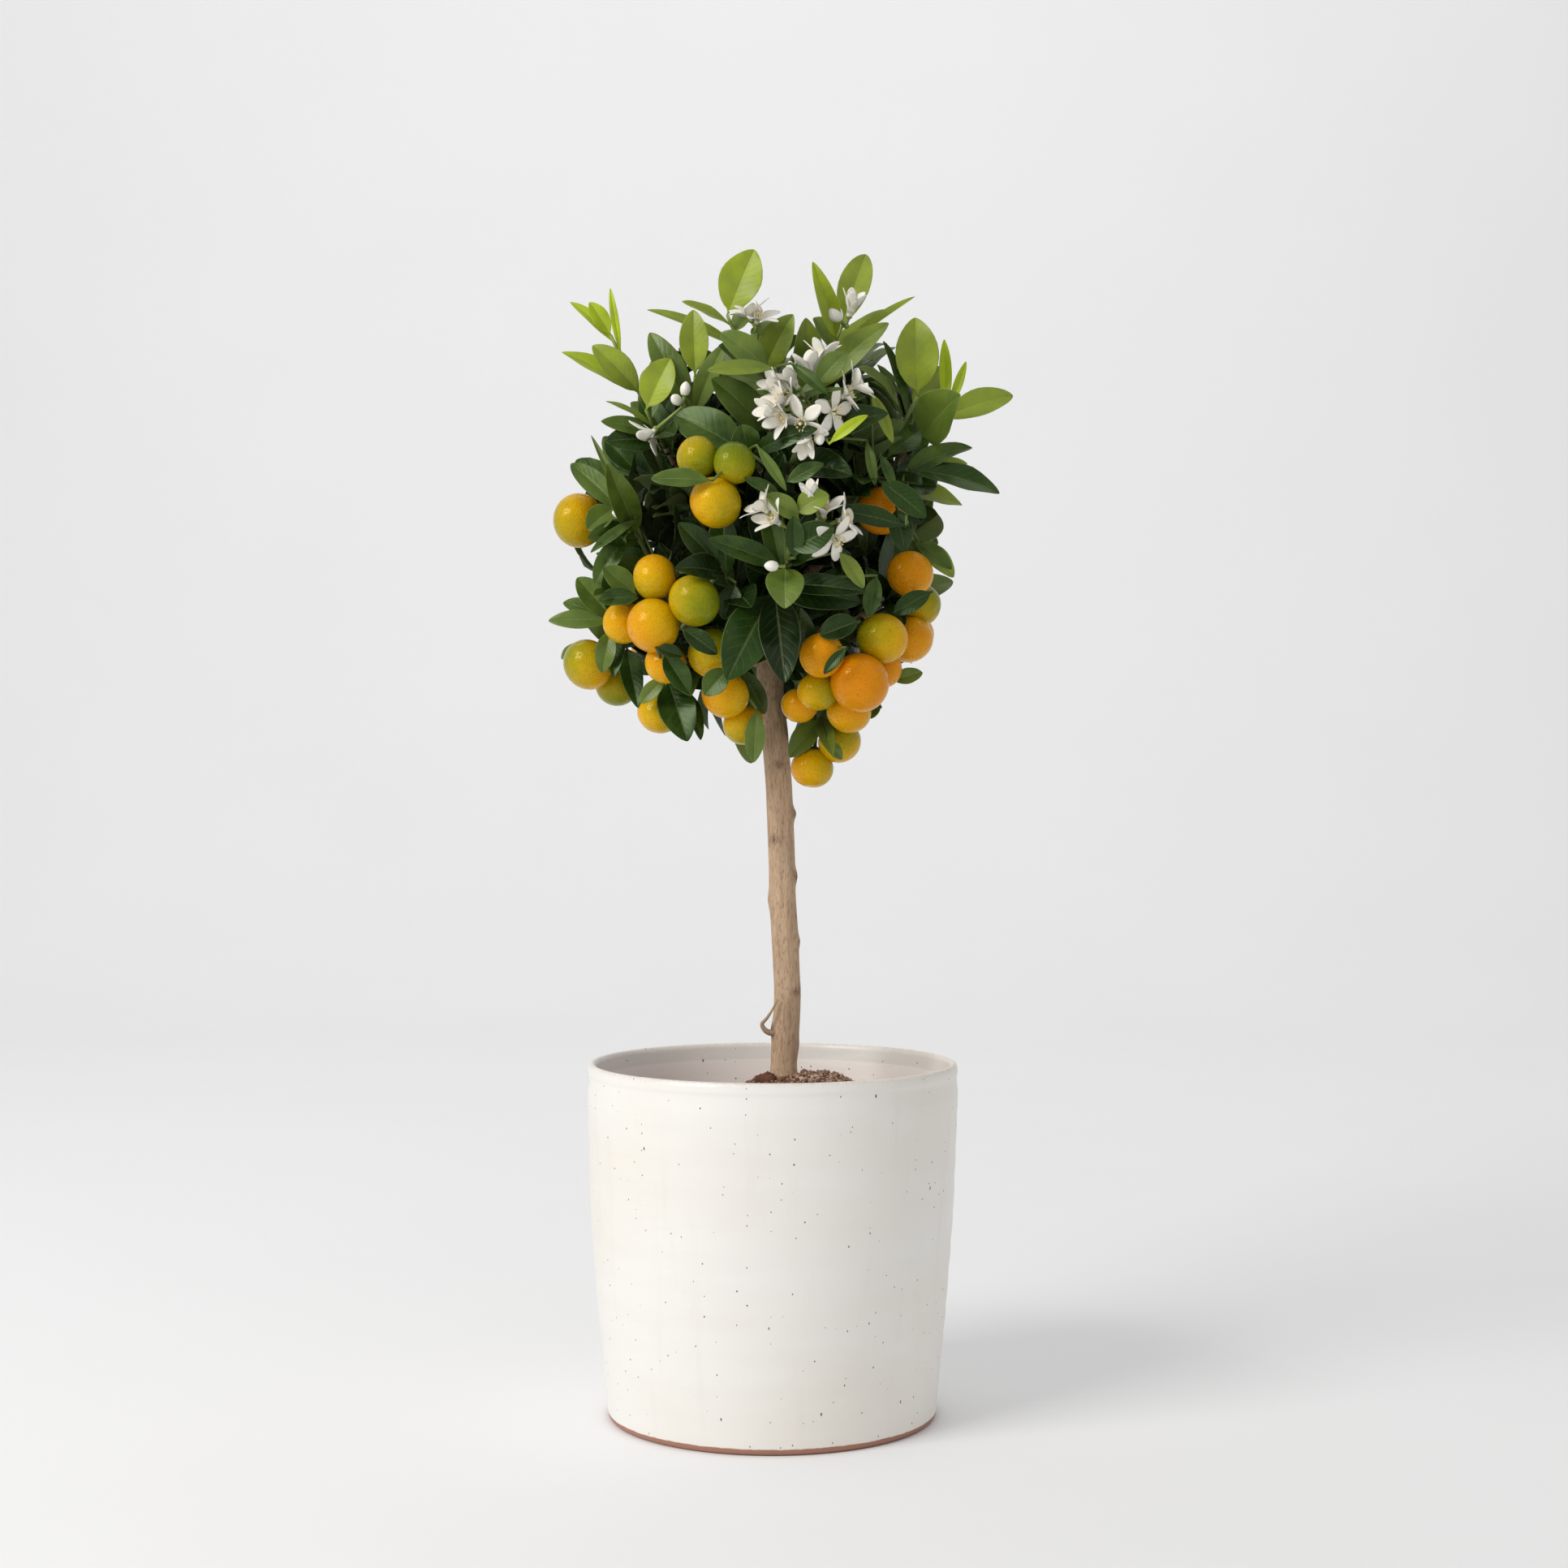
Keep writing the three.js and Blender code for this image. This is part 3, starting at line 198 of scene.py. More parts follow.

# More leaves that hang before the fruit and blossom on stalks of their own: base, tip, width, youth;
# the youth is partly the leaf's age and partly painted light and shade, higher where it catches a sheen
FRONT_LEAVES = [
    ((27, -98, 637), (45, -104, 655), 15, 0.52), ((11, -108, 648), (33, -117, 628), 8, 0.3),
    ((17, -114, 554), (-3, -120, 569), 13, 0.6), ((14, -114, 559), (34, -119, 569), 15, 0.66),
    ((11, -119, 536), (37, -123, 549), 19, 0.2), ((34, -108, 600), (57, -112, 617), 7, 0.95),
    ((60, -78, 636), (73, -84, 604), 7.5, 0.72), ((57, -84, 606), (62, -88, 578), 6.5, 0.36),
    ((65, -82, 598), (74, -84, 576), 6.5, 0.28), ((-9, -106, 600), (9, -110, 572), 6.5, 0.52),
    ((6, -108, 569), (-16, -112, 581), 8, 0.3), ((8, -107, 577), (31, -113, 588), 10, 0.26),
    ((-21, -86, 520), (-35, -92, 498), 14, 0.12), ((3, -100, 646), (-38, -106, 644), 10, 0.62),
    ((-96, -54, 569), (-114, -58, 553), 16, 0.44), ((-54, -101, 492), (-32, -104, 476), 12, 0.14),
    ((64, -84, 582), (93, -84, 559), 15, 0.22), ((81, -92, 553), (39, -92, 563), 13, 0.12),
    ((75, -82, 566), (80, -82, 539), 15, 0.14), ((97, -80, 515), (73, -80, 501), 12, 0.2),
    ((63, -94, 524), (58, -94, 499), 11, 0.3), ((53, -102, 496), (29, -102, 487), 16, 0.12),
    ((45, -108, 480), (31, -108, 464), 7, 0.2), ((33, -60, 426), (43, -60, 414), 8, 0.5),
    ((-80, -87, 511), (-104, -88, 509), 12, 0.28), ((-81, -80, 513), (-98, -80, 528), 15, 0.42),
    ((-69, -98, 480), (-53, -98, 475), 9, 0.15), ((-65, -93, 478), (-49, -93, 453), 15, 0.26),
    ((-64, -68, 464), (-80, -68, 448), 10, 0.55), ((-98, -63, 494), (-101, -64, 466), 13, 0.5),
    ((-88, -54, 553), (-108, -56, 522), 14, 0.34), ((-81, -64, 561), (-108, -64, 540), 7, 0.34),
    ((-25, -95, 468), (-40, -95, 452), 15, 0.3), ((-9, -74, 445), (-11, -74, 412), 12, 0.5),
    ((74, -52, 462), (89, -52, 473), 10, 0.5), ((57, -48, 439), (67, -50, 448), 8, 0.4),
    ((-34, -119, 577), (-71, -112, 579), 12, 0.36), ((14, -118, 531), (14, -122, 556), 12, 0.2),
    ((40, -106, 537), (55, -106, 515), 10, 0.62), ((90, -40, 550), (113, -40, 527), 13, 0.7),
    ((87, -46, 549), (106, -48, 529), 11, 0.36),
]

# Fruit: centre, radius, shoot that carries it, how far along it, ripeness from 0 green to 1
# orange, and which way its green side looks
FRUITS = {
    "upper": [
        ((-44, -100, 593), 13.2, "front_left", 0.9, 0.30, (1, 0, -1)),
        ((-22, -107, 589), 12.7, "front_left", 1, 0.18, (0, 0, 1)),
        ((-33, -104, 566), 15.6, "front_left", 0.8, 0.60, (1, -0.6, -0.3))],
    "far_left": [((-121, -22, 564), 16.8, "left_mid", 1, 0.60, (-1, -0.4, -0.5))],
    "left": [
        ((-70, -86, 523), 14.2, "centre_left", 1, 0.58, (0, 0, -1)),
        ((-46, -98, 508), 15.9, "centre_left", 0.95, 0.35, (1, -0.3, -0.3)),
        ((-71, -89, 494), 16.6, "centre_left", 0.6, 0.68, (1, 0, 0.6)),
        ((-90, -70, 497), 12.8, "left_low", 0.9, 0.54, (0, 1, 0)),
        ((-64, -76, 472), 12.5, "bottom_left", 0.95, 0.62, (0, 1, 0))],
    "low_left": [
        ((-114, -38, 473), 15.8, "lower_left", 1, 0.47, (-1, 0, 0.3)),
        ((-97, -20, 461), 13.9, "lower_left", 1, 0.36, (0, 0, -1))],
    "bottom_left": [((-69, -48, 443), 14, "bottom_left", 1, 0.46, (1, 0, 0.4))],
    "bottom_mid": [
        ((-36, -80, 478), 14.8, "bottom_mid", 0.8, 0.40, (0, 0, 1)),
        ((-28, -72, 453), 14.5, "bottom_mid", 0.8, 0.72, (1, 0, -0.4)),
        ((-17, -58, 435), 12.9, "bottom_mid", 0.8, 0.56, (0, 0, -1))],
    "upper_right": [((67, -60, 566), 15.4, "right_upper", 1, 0.92, (0, 1, 0))],
    "right": [
        ((85, -52, 528), 14.5, "right_side", 1, 0.76, (0, 1, 0)),
        ((92, -36, 510), 13.5, "right_side", 1, 0.40, (1, 0, 1)),
        ((85, -46, 488), 14.5, "right_side", 0.9, 0.70, (0, 1, 0))],
    "low_right": [
        ((67, -77, 487), 15.6, "right_low", 1, 0.50, (-1, -0.1, 0.2)),
        ((53, -84, 460), 18, "right_low", 0.85, 0.84, (0, 1, 0)),
        ((47, -62, 443), 13.8, "right_low", 0.85, 0.62, (0, 1, 0)),
        ((68, -59, 469), 12, "right_low", 1, 0.80, (0, 1, 0)),
        ((30, -92, 476), 13.6, "low_right", 1, 0.74, (0, 1, 0)),
        ((28, -76, 455), 12.5, "low_right", 1, 0.48, (1, 0, 0)),
        ((17, -60, 447), 11.4, "low_right", 0.9, 0.62, (0, 1, 0))],
    "bottom_right": [
        ((42, -40, 425), 13.5, "bottom_right", 1, 0.48, (0, -0.4, 1)),
        ((25, -37, 409), 13.2, "bottom_right", 0.9, 0.60, (1, 0, 0))],
    "back_left": [
        ((-96, 66, 503), 14, "back_left_low", 1, 0.72, (0, -1, 1)),
        ((-80, 84, 490), 15, "back_left_low", 0.9, 0.60, (1, 0, 0))],
    "back_mid": [
        ((10, 108, 572), 15, "back_mid", 1, 0.52, (0, 0, 1)),
        ((-15, 104, 564), 14, "back_mid", 0.9, 0.34, (-1, 0, 0))],
    "back_right": [
        ((92, 66, 498), 15, "back_right_low", 1, 0.92, (0, -1, 1)),
        ((73, 83, 489), 14.5, "back_right_low", 0.9, 0.74, (0, 0, 1))],
    "back_low": [
        ((10, 96, 462), 15, "back_low", 1, 0.70, (1, 0, 1)),
        ((-14, 90, 452), 14, "back_low", 0.9, 0.48, (-1, 0, 0))],
}

# Blossom: shoot, how far along it, the point its stalks spring from, flowers as (centre, opening
# in degrees); 0 degrees is a closed bud
BLOOMS = {
    "top": ("top_bloom", 1, (-10, -41, 680), [((-9, -44, 685), 62)]),
    "top_right": ("right_bloom", 1, (46, -38, 683), [((48, -40.5, 690), 24), ((41, -42, 685), 0)]),
    "centre": ("big_bloom", 1, (26, -92, 622), [
        ((19, -106, 614), 80), ((36, -102, 620), 74), ((43, -95, 630), 66), ((13, -99, 627), 48),
        ((27, -88, 641), 46), ((28, -103, 607), 0)]),
    "low_left": ("centre_bloom", 1, (9, -113, 550), [((4, -117, 553), 42)]),
    "low_right": ("centre_bloom", 0.9, (30, -106, 551), [((37, -114, 544), 76), ((31, -110, 558), 46)]),
    "bud_left": ("upper_left", 0.7, (-54, -65, 629), [((-53, -68, 635), 0), ((-56, -69, 630.5), 0)]),
    "bud_side": ("left_mid", 0.95, (-87, -62, 564), [((-89, -63, 564), 0)]),
    "bud_centre": ("centre_bloom", 0.9, (6, -116, 527), [((4, -117, 527), 0)]),
    "back": ("back_right_up", 1, (79, 68, 640), [((83, 75, 644), 68)]),
}
PETAL = {"length": 16.0, "width": 8.4, "throat": 0.8, "curl": 2.346, "half_thick": 0.24}
BUD = {"length": 9, "radius": 3.2}
STAMENS = 14
# More heads in some clusters: centre, opening, and a size where it isn't the usual one
MORE_HEADS = {
    "centre": [((10, -103, 617), 40), ((9, -104, 626), 34), ((15, -97, 636), 30), ((23, -97, 644), 36),
               ((30, -93, 652), 40), ((48, -93, 636), 50), ((22, -104, 606), 22), ((7, -100, 633), 26),
               ((5, -104, 621), 24)],
    "low_right": [((41, -108, 555), 58), ((26, -112, 563), 20)],
    "low_left": [((-3, -116, 560), 48)],
    "top": [((-13, -43, 687), 52)],
    "top_right": [((41.5, -47, 686), 0, 1.45)],
    "bud_left": [((-72, -58, 615), 58)],
}
HEADS = [head for name, row in BLOOMS.items() for head in (*row[3], *MORE_HEADS.get(name, ()))]
HEAD_ROOM = 9.0  # how far leaves keep from the middle of a flower or bud
# Leaves inside the crown hang on the limbs, in pieces of their own
INNER = {"limb_" + name: name for name in LIMBS}


# Numbers and curves
def vec(*values):
    return np.array(values if len(values) > 1 else values[0], float)


def unit(v):
    return v / np.linalg.norm(v)


def across(axis, hint):
    """Two directions square to an axis and to each other."""
    side = unit(np.cross(axis, hint))
    return side, np.cross(axis, side)


def draw(a, b, c):
    """A repeatable draw from 0 to 1."""
    s = math.sin(a * 127.1 + b * 311.7 + c * 74.7) * 43758.5453
    return s - math.floor(s)


def turns(count):
    """Angles spread evenly round a circle."""
    return 2 * np.pi * np.arange(count) / count


def smooth(low, high, x):
    share = np.clip((x - low) / (high - low), 0, 1)
    return share * share * (3 - 2 * share)


class Bow:
    """A line bowed from one point to another."""

    def __init__(self, start, end, bow):
        self.start, self.end = vec(start), vec(end)
        self.middle = (self.start + self.end) / 2 + vec(bow)

    def at(self, t):
        return (1 - t) ** 2 * self.start + 2 * t * (1 - t) * self.middle + t * t * self.end

    def along(self, t):
        return unit((1 - t) * (self.middle - self.start) + t * (self.end - self.middle))

    def points(self, start, end, count):
        return [self.at(t) for t in np.linspace(start, end, count)]


def between(a, b, low, high, t):
    """The place between a, at low, and b, at high."""
    return ((high - t) * a + (t - low) * b) / (high - low)


def spline(points, steps):
    """Points spread along a smooth curve through the given ones."""
    points = [vec(p) for p in points]
    points = [2 * points[0] - points[1], *points, 2 * points[-1] - points[-2]]
    out = []
    for row in zip(points, points[1:], points[2:], points[3:]):
        knots = np.cumsum([0.0, *(np.linalg.norm(b - a) ** 0.5 for a, b in zip(row, row[1:]))])
        for t in np.linspace(knots[1], knots[2], steps, endpoint=False):
            pairs = [between(row[i], row[i + 1], knots[i], knots[i + 1], t) for i in range(3)]
            pairs = [between(pairs[i], pairs[i + 1], knots[i], knots[i + 2], t) for i in range(2)]
            out.append(between(*pairs, knots[1], knots[2], t))
    return np.array([*out, points[-2]])


limb_curves = {name: Bow(*line) for name, line in LIMBS.items()}


def shoot_curve(limb, place, tip):
    start = limb_curves[limb].at(place)
    return Bow(start, tip, (0, 0, -0.06 * np.linalg.norm(vec(tip) - start)))


curves = {name: shoot_curve(*row[:3]) for name, row in SHOOTS.items()}


# Meshes
def loft(rings, start, end):
    """A skin over rings of points, closed at each end by a point. Three-sided faces end in -1."""
    rings = np.asarray(rings, float)
    count, around = rings.shape[:2]
    k, after = np.arange(around), np.roll(np.arange(around), -1)
    low, first, last = np.arange(count - 1)[:, None] * around, count * around, (count - 1) * around
    sides = np.stack([low + k, low + after, low + around + after, low + around + k], 2).reshape(-1, 4)
    start_fan = np.stack([np.full(around, first), after, k, np.full(around, -1)], 1)
    end_fan = np.stack([np.full(around, first + 1), last + k, last + after, np.full(around, -1)], 1)
    points = np.concatenate([rings.reshape(-1, 3), [start], [end]])
    return outward(points, np.concatenate([sides, start_fan, end_fan]))


def on_skin(values, size, start, end):
    """A value for every point of a skin: those of its rings, then its two ends."""
    return np.concatenate([np.broadcast_to(values, size).ravel(), [start, end]])


def outward(points, faces):
    """The same closed skin with its faces looking out."""
    a, b, c = (points[faces[:, i]] for i in range(3))
    d = points[np.where(faces[:, 3] < 0, faces[:, 2], faces[:, 3])]
    volume = np.einsum("ij,ij->", a, np.cross(b, c)) + np.einsum("ij,ij->", a, np.cross(c, d))
    if volume < 0:
        turned = faces[:, ::-1].copy()
        three = faces[:, 3] < 0
        turned[three] = faces[three][:, [2, 1, 0, 3]]
        faces = turned
    return points, faces


def tube_rings(points, radii, sides):
    """Rings round a line. A radius is one number for each point, or one for each side too."""
    points = np.asarray(points, float)
    radii = np.asarray(radii, float)
    if radii.ndim == 1:
        radii = radii[:, None]
    side = vec(0.31, 0.83, 0.46)
    cos, sin = np.cos(turns(sides)), np.sin(turns(sides))
    rings = []
    for i, point in enumerate(points):
        ahead = unit(points[min(i + 1, len(points) - 1)] - points[max(i - 1, 0)])
        side = unit(side - ahead * (side @ ahead))
        ring = np.outer(cos, side) + np.outer(sin, np.cross(ahead, side))
        rings.append(point + ring * radii[i][:, None])
    return np.array(rings)


def tube(points, radii, sides):
    """A closed tube with flat ends."""
    rings = tube_rings(points, radii, sides)
    return loft(rings, rings[0].mean(0), rings[-1].mean(0))


class Shape:
    """Closed skins gathered in one mesh, each face with its material and each point its numbers."""

    def __init__(self, name, materials, fields=()):
        self.name, self.materials, self.fields = name, materials, fields
        self.points, self.faces, self.slots = [], [], []
        self.numbers = {field: [] for field in fields}
        self.total = 0

    def add(self, skin, slot=0, **numbers):
        points, faces = skin
        self.points.append(points)
        self.faces.append(np.where(faces < 0, -1, faces + self.total))
        self.slots.append(np.broadcast_to(slot, len(faces)))
        self.total += len(points)
        for field in self.fields:
            value = np.asarray(numbers.get(field, 0.0), float)
            self.numbers[field].append(np.broadcast_to(value, len(points)))

    def build(self, replaced=None, slot=None):
        points, faces = np.concatenate(self.points) * MM, np.concatenate(self.faces)
        held = faces >= 0
        sizes = held.sum(1)
        mesh = bpy.data.meshes.new(self.name)
        mesh.vertices.add(len(points))
        mesh.vertices.foreach_set("co", points.astype(np.float32).ravel())
        mesh.loops.add(int(sizes.sum()))
        mesh.loops.foreach_set("vertex_index", faces[held].astype(np.int32))
        mesh.polygons.add(len(faces))
        mesh.polygons.foreach_set("loop_start", (np.cumsum(sizes) - sizes).astype(np.int32))
        for material in self.materials:
            mesh.materials.append(material)
        mesh.polygons.foreach_set("material_index", np.concatenate(self.slots).astype(np.int32))
        for field, values in self.numbers.items():
            data = mesh.attributes.new(field, "FLOAT", "POINT").data
            data.foreach_set("value", np.concatenate(values).astype(np.float32))
        mesh.update(calc_edges=True)
        mesh.shade_smooth()
        piece = bpy.data.objects.new(self.name, mesh)
        bpy.context.scene.collection.objects.link(piece)
        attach(piece, "root")
        if replaced:
            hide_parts(replaced)


# Materials
def tone(code):
    """A colour written as on a screen, turned to the linear numbers that shaders use."""
    parts = [int(code[i : i + 2], 16) / 255 for i in (0, 2, 4)]
    return [*(c / 12.92 if c < 0.04 else ((c + 0.055) / 1.055) ** 2.4 for c in parts), 1.0]


class Value:
    """What comes out of a node, with the arithmetic that nodes can do."""

    def __init__(self, graph, socket):
        self.graph, self.socket = graph, socket

    def __add__(self, other):
        return self.graph.math("ADD", self, other)

    def __sub__(self, other):
        return self.graph.math("SUBTRACT", self, other)

    def __mul__(self, other):
        return self.graph.math("MULTIPLY", self, other)


class Graph:
    """One material and its nodes. Most methods add a node and return what comes out of it."""

    def __init__(self, name, **settings):
        self.material = bpy.data.materials.new(name)
        self.material.use_nodes = True
        self.tree = self.material.node_tree
        self.shader = self.tree.nodes["Principled BSDF"]
        for socket, value in settings.items():
            self.shader.inputs[socket.replace("_", " ")].default_value = value

    def put(self, socket, value):
        """Joins or sets a socket. A colour may be given by its code."""
        if isinstance(value, Value):
            self.tree.links.new(value.socket, socket)
        else:
            socket.default_value = tone(value) if isinstance(value, str) else value

    def add(self, kind, inputs, output=0, **settings):
        """A node's output, or all of them if none is named."""
        node = self.tree.nodes.new(kind)
        for key, value in settings.items():
            setattr(node, key, value)
        for key, value in inputs.items():
            self.put(node.inputs[key], value)
        if output is None:
            return [Value(self, socket) for socket in node.outputs]
        return Value(self, node.outputs[output])

    def look(self, colour, roughness, normal=None):
        """Joins what varies over the surface to the shader, and returns the material."""
        self.put(self.shader.inputs["Base Color"], colour)
        self.put(self.shader.inputs["Roughness"], roughness)
        if normal:
            self.put(self.shader.inputs["Normal"], normal)
        return self.material

    def field(self, name):
        return self.add("ShaderNodeAttribute", {}, "Fac", attribute_name=name)

    def place(self):
        return self.add("ShaderNodeTexCoord", {}, "Object")

    def math(self, operation, *values):
        return self.add("ShaderNodeMath", dict(enumerate(values)), operation=operation)

    def stretch(self, vector, *scale):
        return self.add("ShaderNodeMapping", {"Vector": vector, "Scale": scale})

    def noise(self, vector, scale, detail=3.0, roughness=0.55, distortion=0.0):
        inputs = {"Vector": vector, "Scale": scale, "Detail": detail, "Roughness": roughness}
        return self.add("ShaderNodeTexNoise", {**inputs, "Distortion": distortion})

    def cells(self, vector, scale, dimensions="3D"):
        """How far each place is from the nearest of many scattered points, and a colour for each."""
        inputs = {"Vector": vector, "Scale": scale}
        return self.add("ShaderNodeTexVoronoi", inputs, None, voronoi_dimensions=dimensions)[:2]

    def step(self, value, low, high, to_low=0.0, to_high=1.0):
        """A soft step of value between low and high."""
        inputs = {"Value": value, "From Min": low, "From Max": high, "To Min": to_low, "To Max": to_high}
        return self.add("ShaderNodeMapRange", inputs, interpolation_type="SMOOTHSTEP")

    def fade(self, value, low, high):
        return self.step(value, low, high, 1.0, 0.0)

    def mix(self, share, a, b):
        return self.add("ShaderNodeMix", {0: share, 6: a, 7: b}, 2, data_type="RGBA")

    def ramp(self, value, *stops):
        """A colour for each value, from stops of position and colour."""
        node = self.tree.nodes.new("ShaderNodeValToRGB")
        self.put(node.inputs[0], value)
        band = node.color_ramp.elements
        while len(band) < len(stops):
            band.new(0.5)
        for element, (position, colour) in zip(band, stops):
            element.position, element.color = position, tone(colour)
        return Value(self, node.outputs[0])

    def bump(self, height, distance, strength=1.0, **below):
        inputs = {"Height": height, "Distance": distance, "Strength": strength, **below}
        return self.add("ShaderNodeBump", inputs)

    def let_through(self, share, colour):
        """Lets part of the light through a thin blade or petal."""
        glow = self.add("ShaderNodeBsdfTranslucent", {"Color": colour})
        solid = Value(self, self.shader.outputs[0])
        mixed = self.add("ShaderNodeMixShader", {0: share, 1: solid, 2: glow})
        self.put(self.tree.nodes["Material Output"].inputs["Surface"], mixed)


LEAF_TONES = ((0.0, "0f1c0a"), (0.25, "274212"), (0.55, "6f8434"), (0.78, "9faf38"), (1.0, "c8dc20"))
LEAF_VEINS = 10.0  # on each side of the midrib
YOUNG = 0.45  # youth from which a leaf has the young leaf's look
WHITE_SHEEN, GREEN_SHEEN = (0.95, 1.0, 0.9, 1.0), (0.8, 1.0, 0.62, 1.0)


def leaf_material(name, under, gloss, sheen=GREEN_SHEEN):
    """A leaf's upper face or underside, from dark green at youth 0 to lime at 1."""
    g = Graph(name, Specular_IOR_Level=gloss, Specular_Tint=sheen)
    t, v, youth, place = g.field("leaf_t"), g.field("leaf_v"), g.field("youth"), g.place()
    off_rib = g.math("ABSOLUTE", v)
    patch, fine = g.noise(place, 70.0), g.noise(place, 900.0, 2.0)
    # Side veins leave the midrib at a slant and fade before the edge
    lane = g.math("FRACT", t * LEAF_VEINS + patch * 0.5 - off_rib * 2.1)
    off_vein = g.math("ABSOLUTE", lane - 0.5)
    vein = g.fade(off_vein, 0.02, 0.13) * g.fade(off_rib, 0.55, 0.95)
    midrib, quilt = g.fade(off_rib, 0.025, 0.085), g.step(off_vein, 0.0, 0.5)
    base = g.ramp(youth + (patch - 0.5) * 0.35, *LEAF_TONES)
    pale = g.mix(0.55, base, "c9d08a")
    if under:
        base = g.mix(0.38, base, "93a56c")
    lift = midrib * 0.17 + vein * 0.06 + g.step(off_rib, 0.93, 0.99) * 0.3
    # Veins stand out below and are sunk above
    sign = 1.0 if under else -1.0
    relief = midrib * (0.8 * sign) + vein * (0.16 * sign) - quilt * (0.12 * sign) + fine * 0.1
    g.let_through(youth * 0.2 + 0.1, g.mix(0.6, base, "a9c512"))
    roughness = youth * 0.16 + patch * 0.22 + (0.40 if under else 0.13)
    return g.look(g.mix(lift, base, pale), roughness, g.bump(relief, 0.00035, 0.55))


def stem_material():
    g = Graph("green stem", Specular_IOR_Level=0.4)
    grain = g.noise(g.stretch(g.place(), 1, 1, 0.35), 420.0, 4.0)
    shade = g.field("youth") + (grain - 0.5) * 0.4
    colour = g.ramp(shade, (0.0, "4a4a26"), (0.4, "5d6f32"), (1.0, "9fae5c"))
    return g.look(colour, grain * 0.3 + 0.4, g.bump(grain, 0.0004, 0.5))


def bark_material():
    g = Graph("bark", Specular_IOR_Level=0.25)
    place = g.place()
    fibre = g.noise(g.stretch(place, 1, 1, 0.22), 1000.0, 5.0, 0.62, 0.5)
    strand = g.noise(g.stretch(place, 1, 1, 0.14), 330.0, 5.0, 0.62, 0.8)
    patch = g.noise(g.stretch(place, 1, 1, 0.45), 55.0, 4.0, 0.6)
    speck = g.noise(place, 700.0, 3.0, 0.7)
    wood = g.ramp(strand, (0.22, "9f8368"), (0.42, "bea184"), (0.62, "caad8f"), (0.8, "d6bba0"))
    wood = g.mix(g.step(patch, 0.5, 0.72, 0.0, 0.4), wood, "ab9073")
    wood = g.mix(g.step(fibre, 0.36, 0.5, 0.5, 0.0), wood, "755c46")
    wood = g.mix(g.field("scar") * g.step(speck, 0.35, 0.6, 0.3, 0.9), wood, "4c3626")
    grooves = g.bump(strand + fibre * 0.9, 0.0008, 0.6)
    return g.look(wood, speck * 0.25 + 0.62, g.bump(speck, 0.0004, 0.35, Normal=grooves))


# Specks in the glaze: cells a metre, how tall they are drawn, share of cells without one, size
SPECKS = ((150.0, 0.8, 0.84, 0.078), (64.0, 0.5, 0.86, 0.045))


def glaze_material():
    g = Graph("speckled glaze", Specular_IOR_Level=0.5, Coat_Weight=0.25, Coat_Roughness=0.22)
    place, wall = g.place(), g.field("wall")
    x, y, z = g.add("ShaderNodeSeparateXYZ", {0: place}, None)
    # The surface unrolled, with its seam at the back
    flat = g.add("ShaderNodeCombineXYZ", {0: g.math("ARCTAN2", x, y * -1.0) * 0.11, 1: z})
    cloud = g.noise(g.stretch(place, 0.5, 0.5, 1), 12.0, 2.0)
    streak = g.noise(g.stretch(place, 1, 1, 0.12), 85.0)
    peel = g.noise(place, 420.0, 2.0)
    glaze = g.mix(g.step(cloud, 0.35, 0.68), "efede8", "ece7de")
    glaze = g.mix(g.step(streak, 0.52, 0.78, 0.0, 0.25), glaze, "e3ddd0")
    # The inside of the pot gets a lighter glaze than the outside: painted light that lifts the shade inside
    # it
    glaze = g.mix(wall, g.mix(cloud, "fdf9f4", "faf2ea"), glaze)
    spots = []
    for scale, tall, empty, size in SPECKS:
        distance, colour = g.cells(g.stretch(flat, 1, tall, 1), scale, "2D")
        chance, other, _ = g.add("ShaderNodeSeparateColor", {0: colour}, None)
        beyond = distance - (other * 0.6 + 0.4) * size
        spots.append(g.fade(beyond, -0.02, 0.008) * g.step(chance, empty, empty + 0.02))
    specks = g.math("MAXIMUM", *spots)
    glaze = g.mix(specks * 0.95, glaze, "3c2b20")
    # Bare clay shows at the foot, and faintly through the glaze where it thins on the rim
    ragged = g.noise(place, 160.0) * 0.0014 + 0.0034
    bare = g.fade(z - ragged, -0.0004, 0.0004) * wall
    glaze = g.mix(g.field("lip") * g.step(peel, 0.3, 0.7, 0.06, 0.34), glaze, "c9ab8c")
    roughness = g.math("MINIMUM", streak * 0.18 + specks * 0.2 + bare * 0.4 + 0.34, 1.0)
    rings = g.noise(g.stretch(place, 0.25, 0.25, 1), 95.0, 2.0)
    skin = g.bump(peel - specks * 0.5, 0.0004, 0.22, Normal=g.bump(rings, 0.0016, 0.28))
    return g.look(g.mix(bare, glaze, "a3745f"), roughness, skin)


def soil_material():
    g = Graph("soil", Specular_IOR_Level=0.2)
    place = g.place()
    crumb, coarse = g.noise(place, 380.0, 5.0, 0.7), g.noise(place, 90.0)
    shade = g.field("tint") + (crumb - 0.5) * 0.7
    earth = g.ramp(shade, (0.0, "3a271e"), (0.35, "6b4b3b"), (0.6, "91705b"), (0.8, "b0907a"),
                   (1.0, "d2b9a3"))
    earth = g.mix(g.step(coarse, 0.4, 0.7, 0.0, 0.35), earth, "7a4a35")
    return g.look(earth, crumb * 0.2 + 0.78, g.bump(crumb, 0.0012, 0.9))


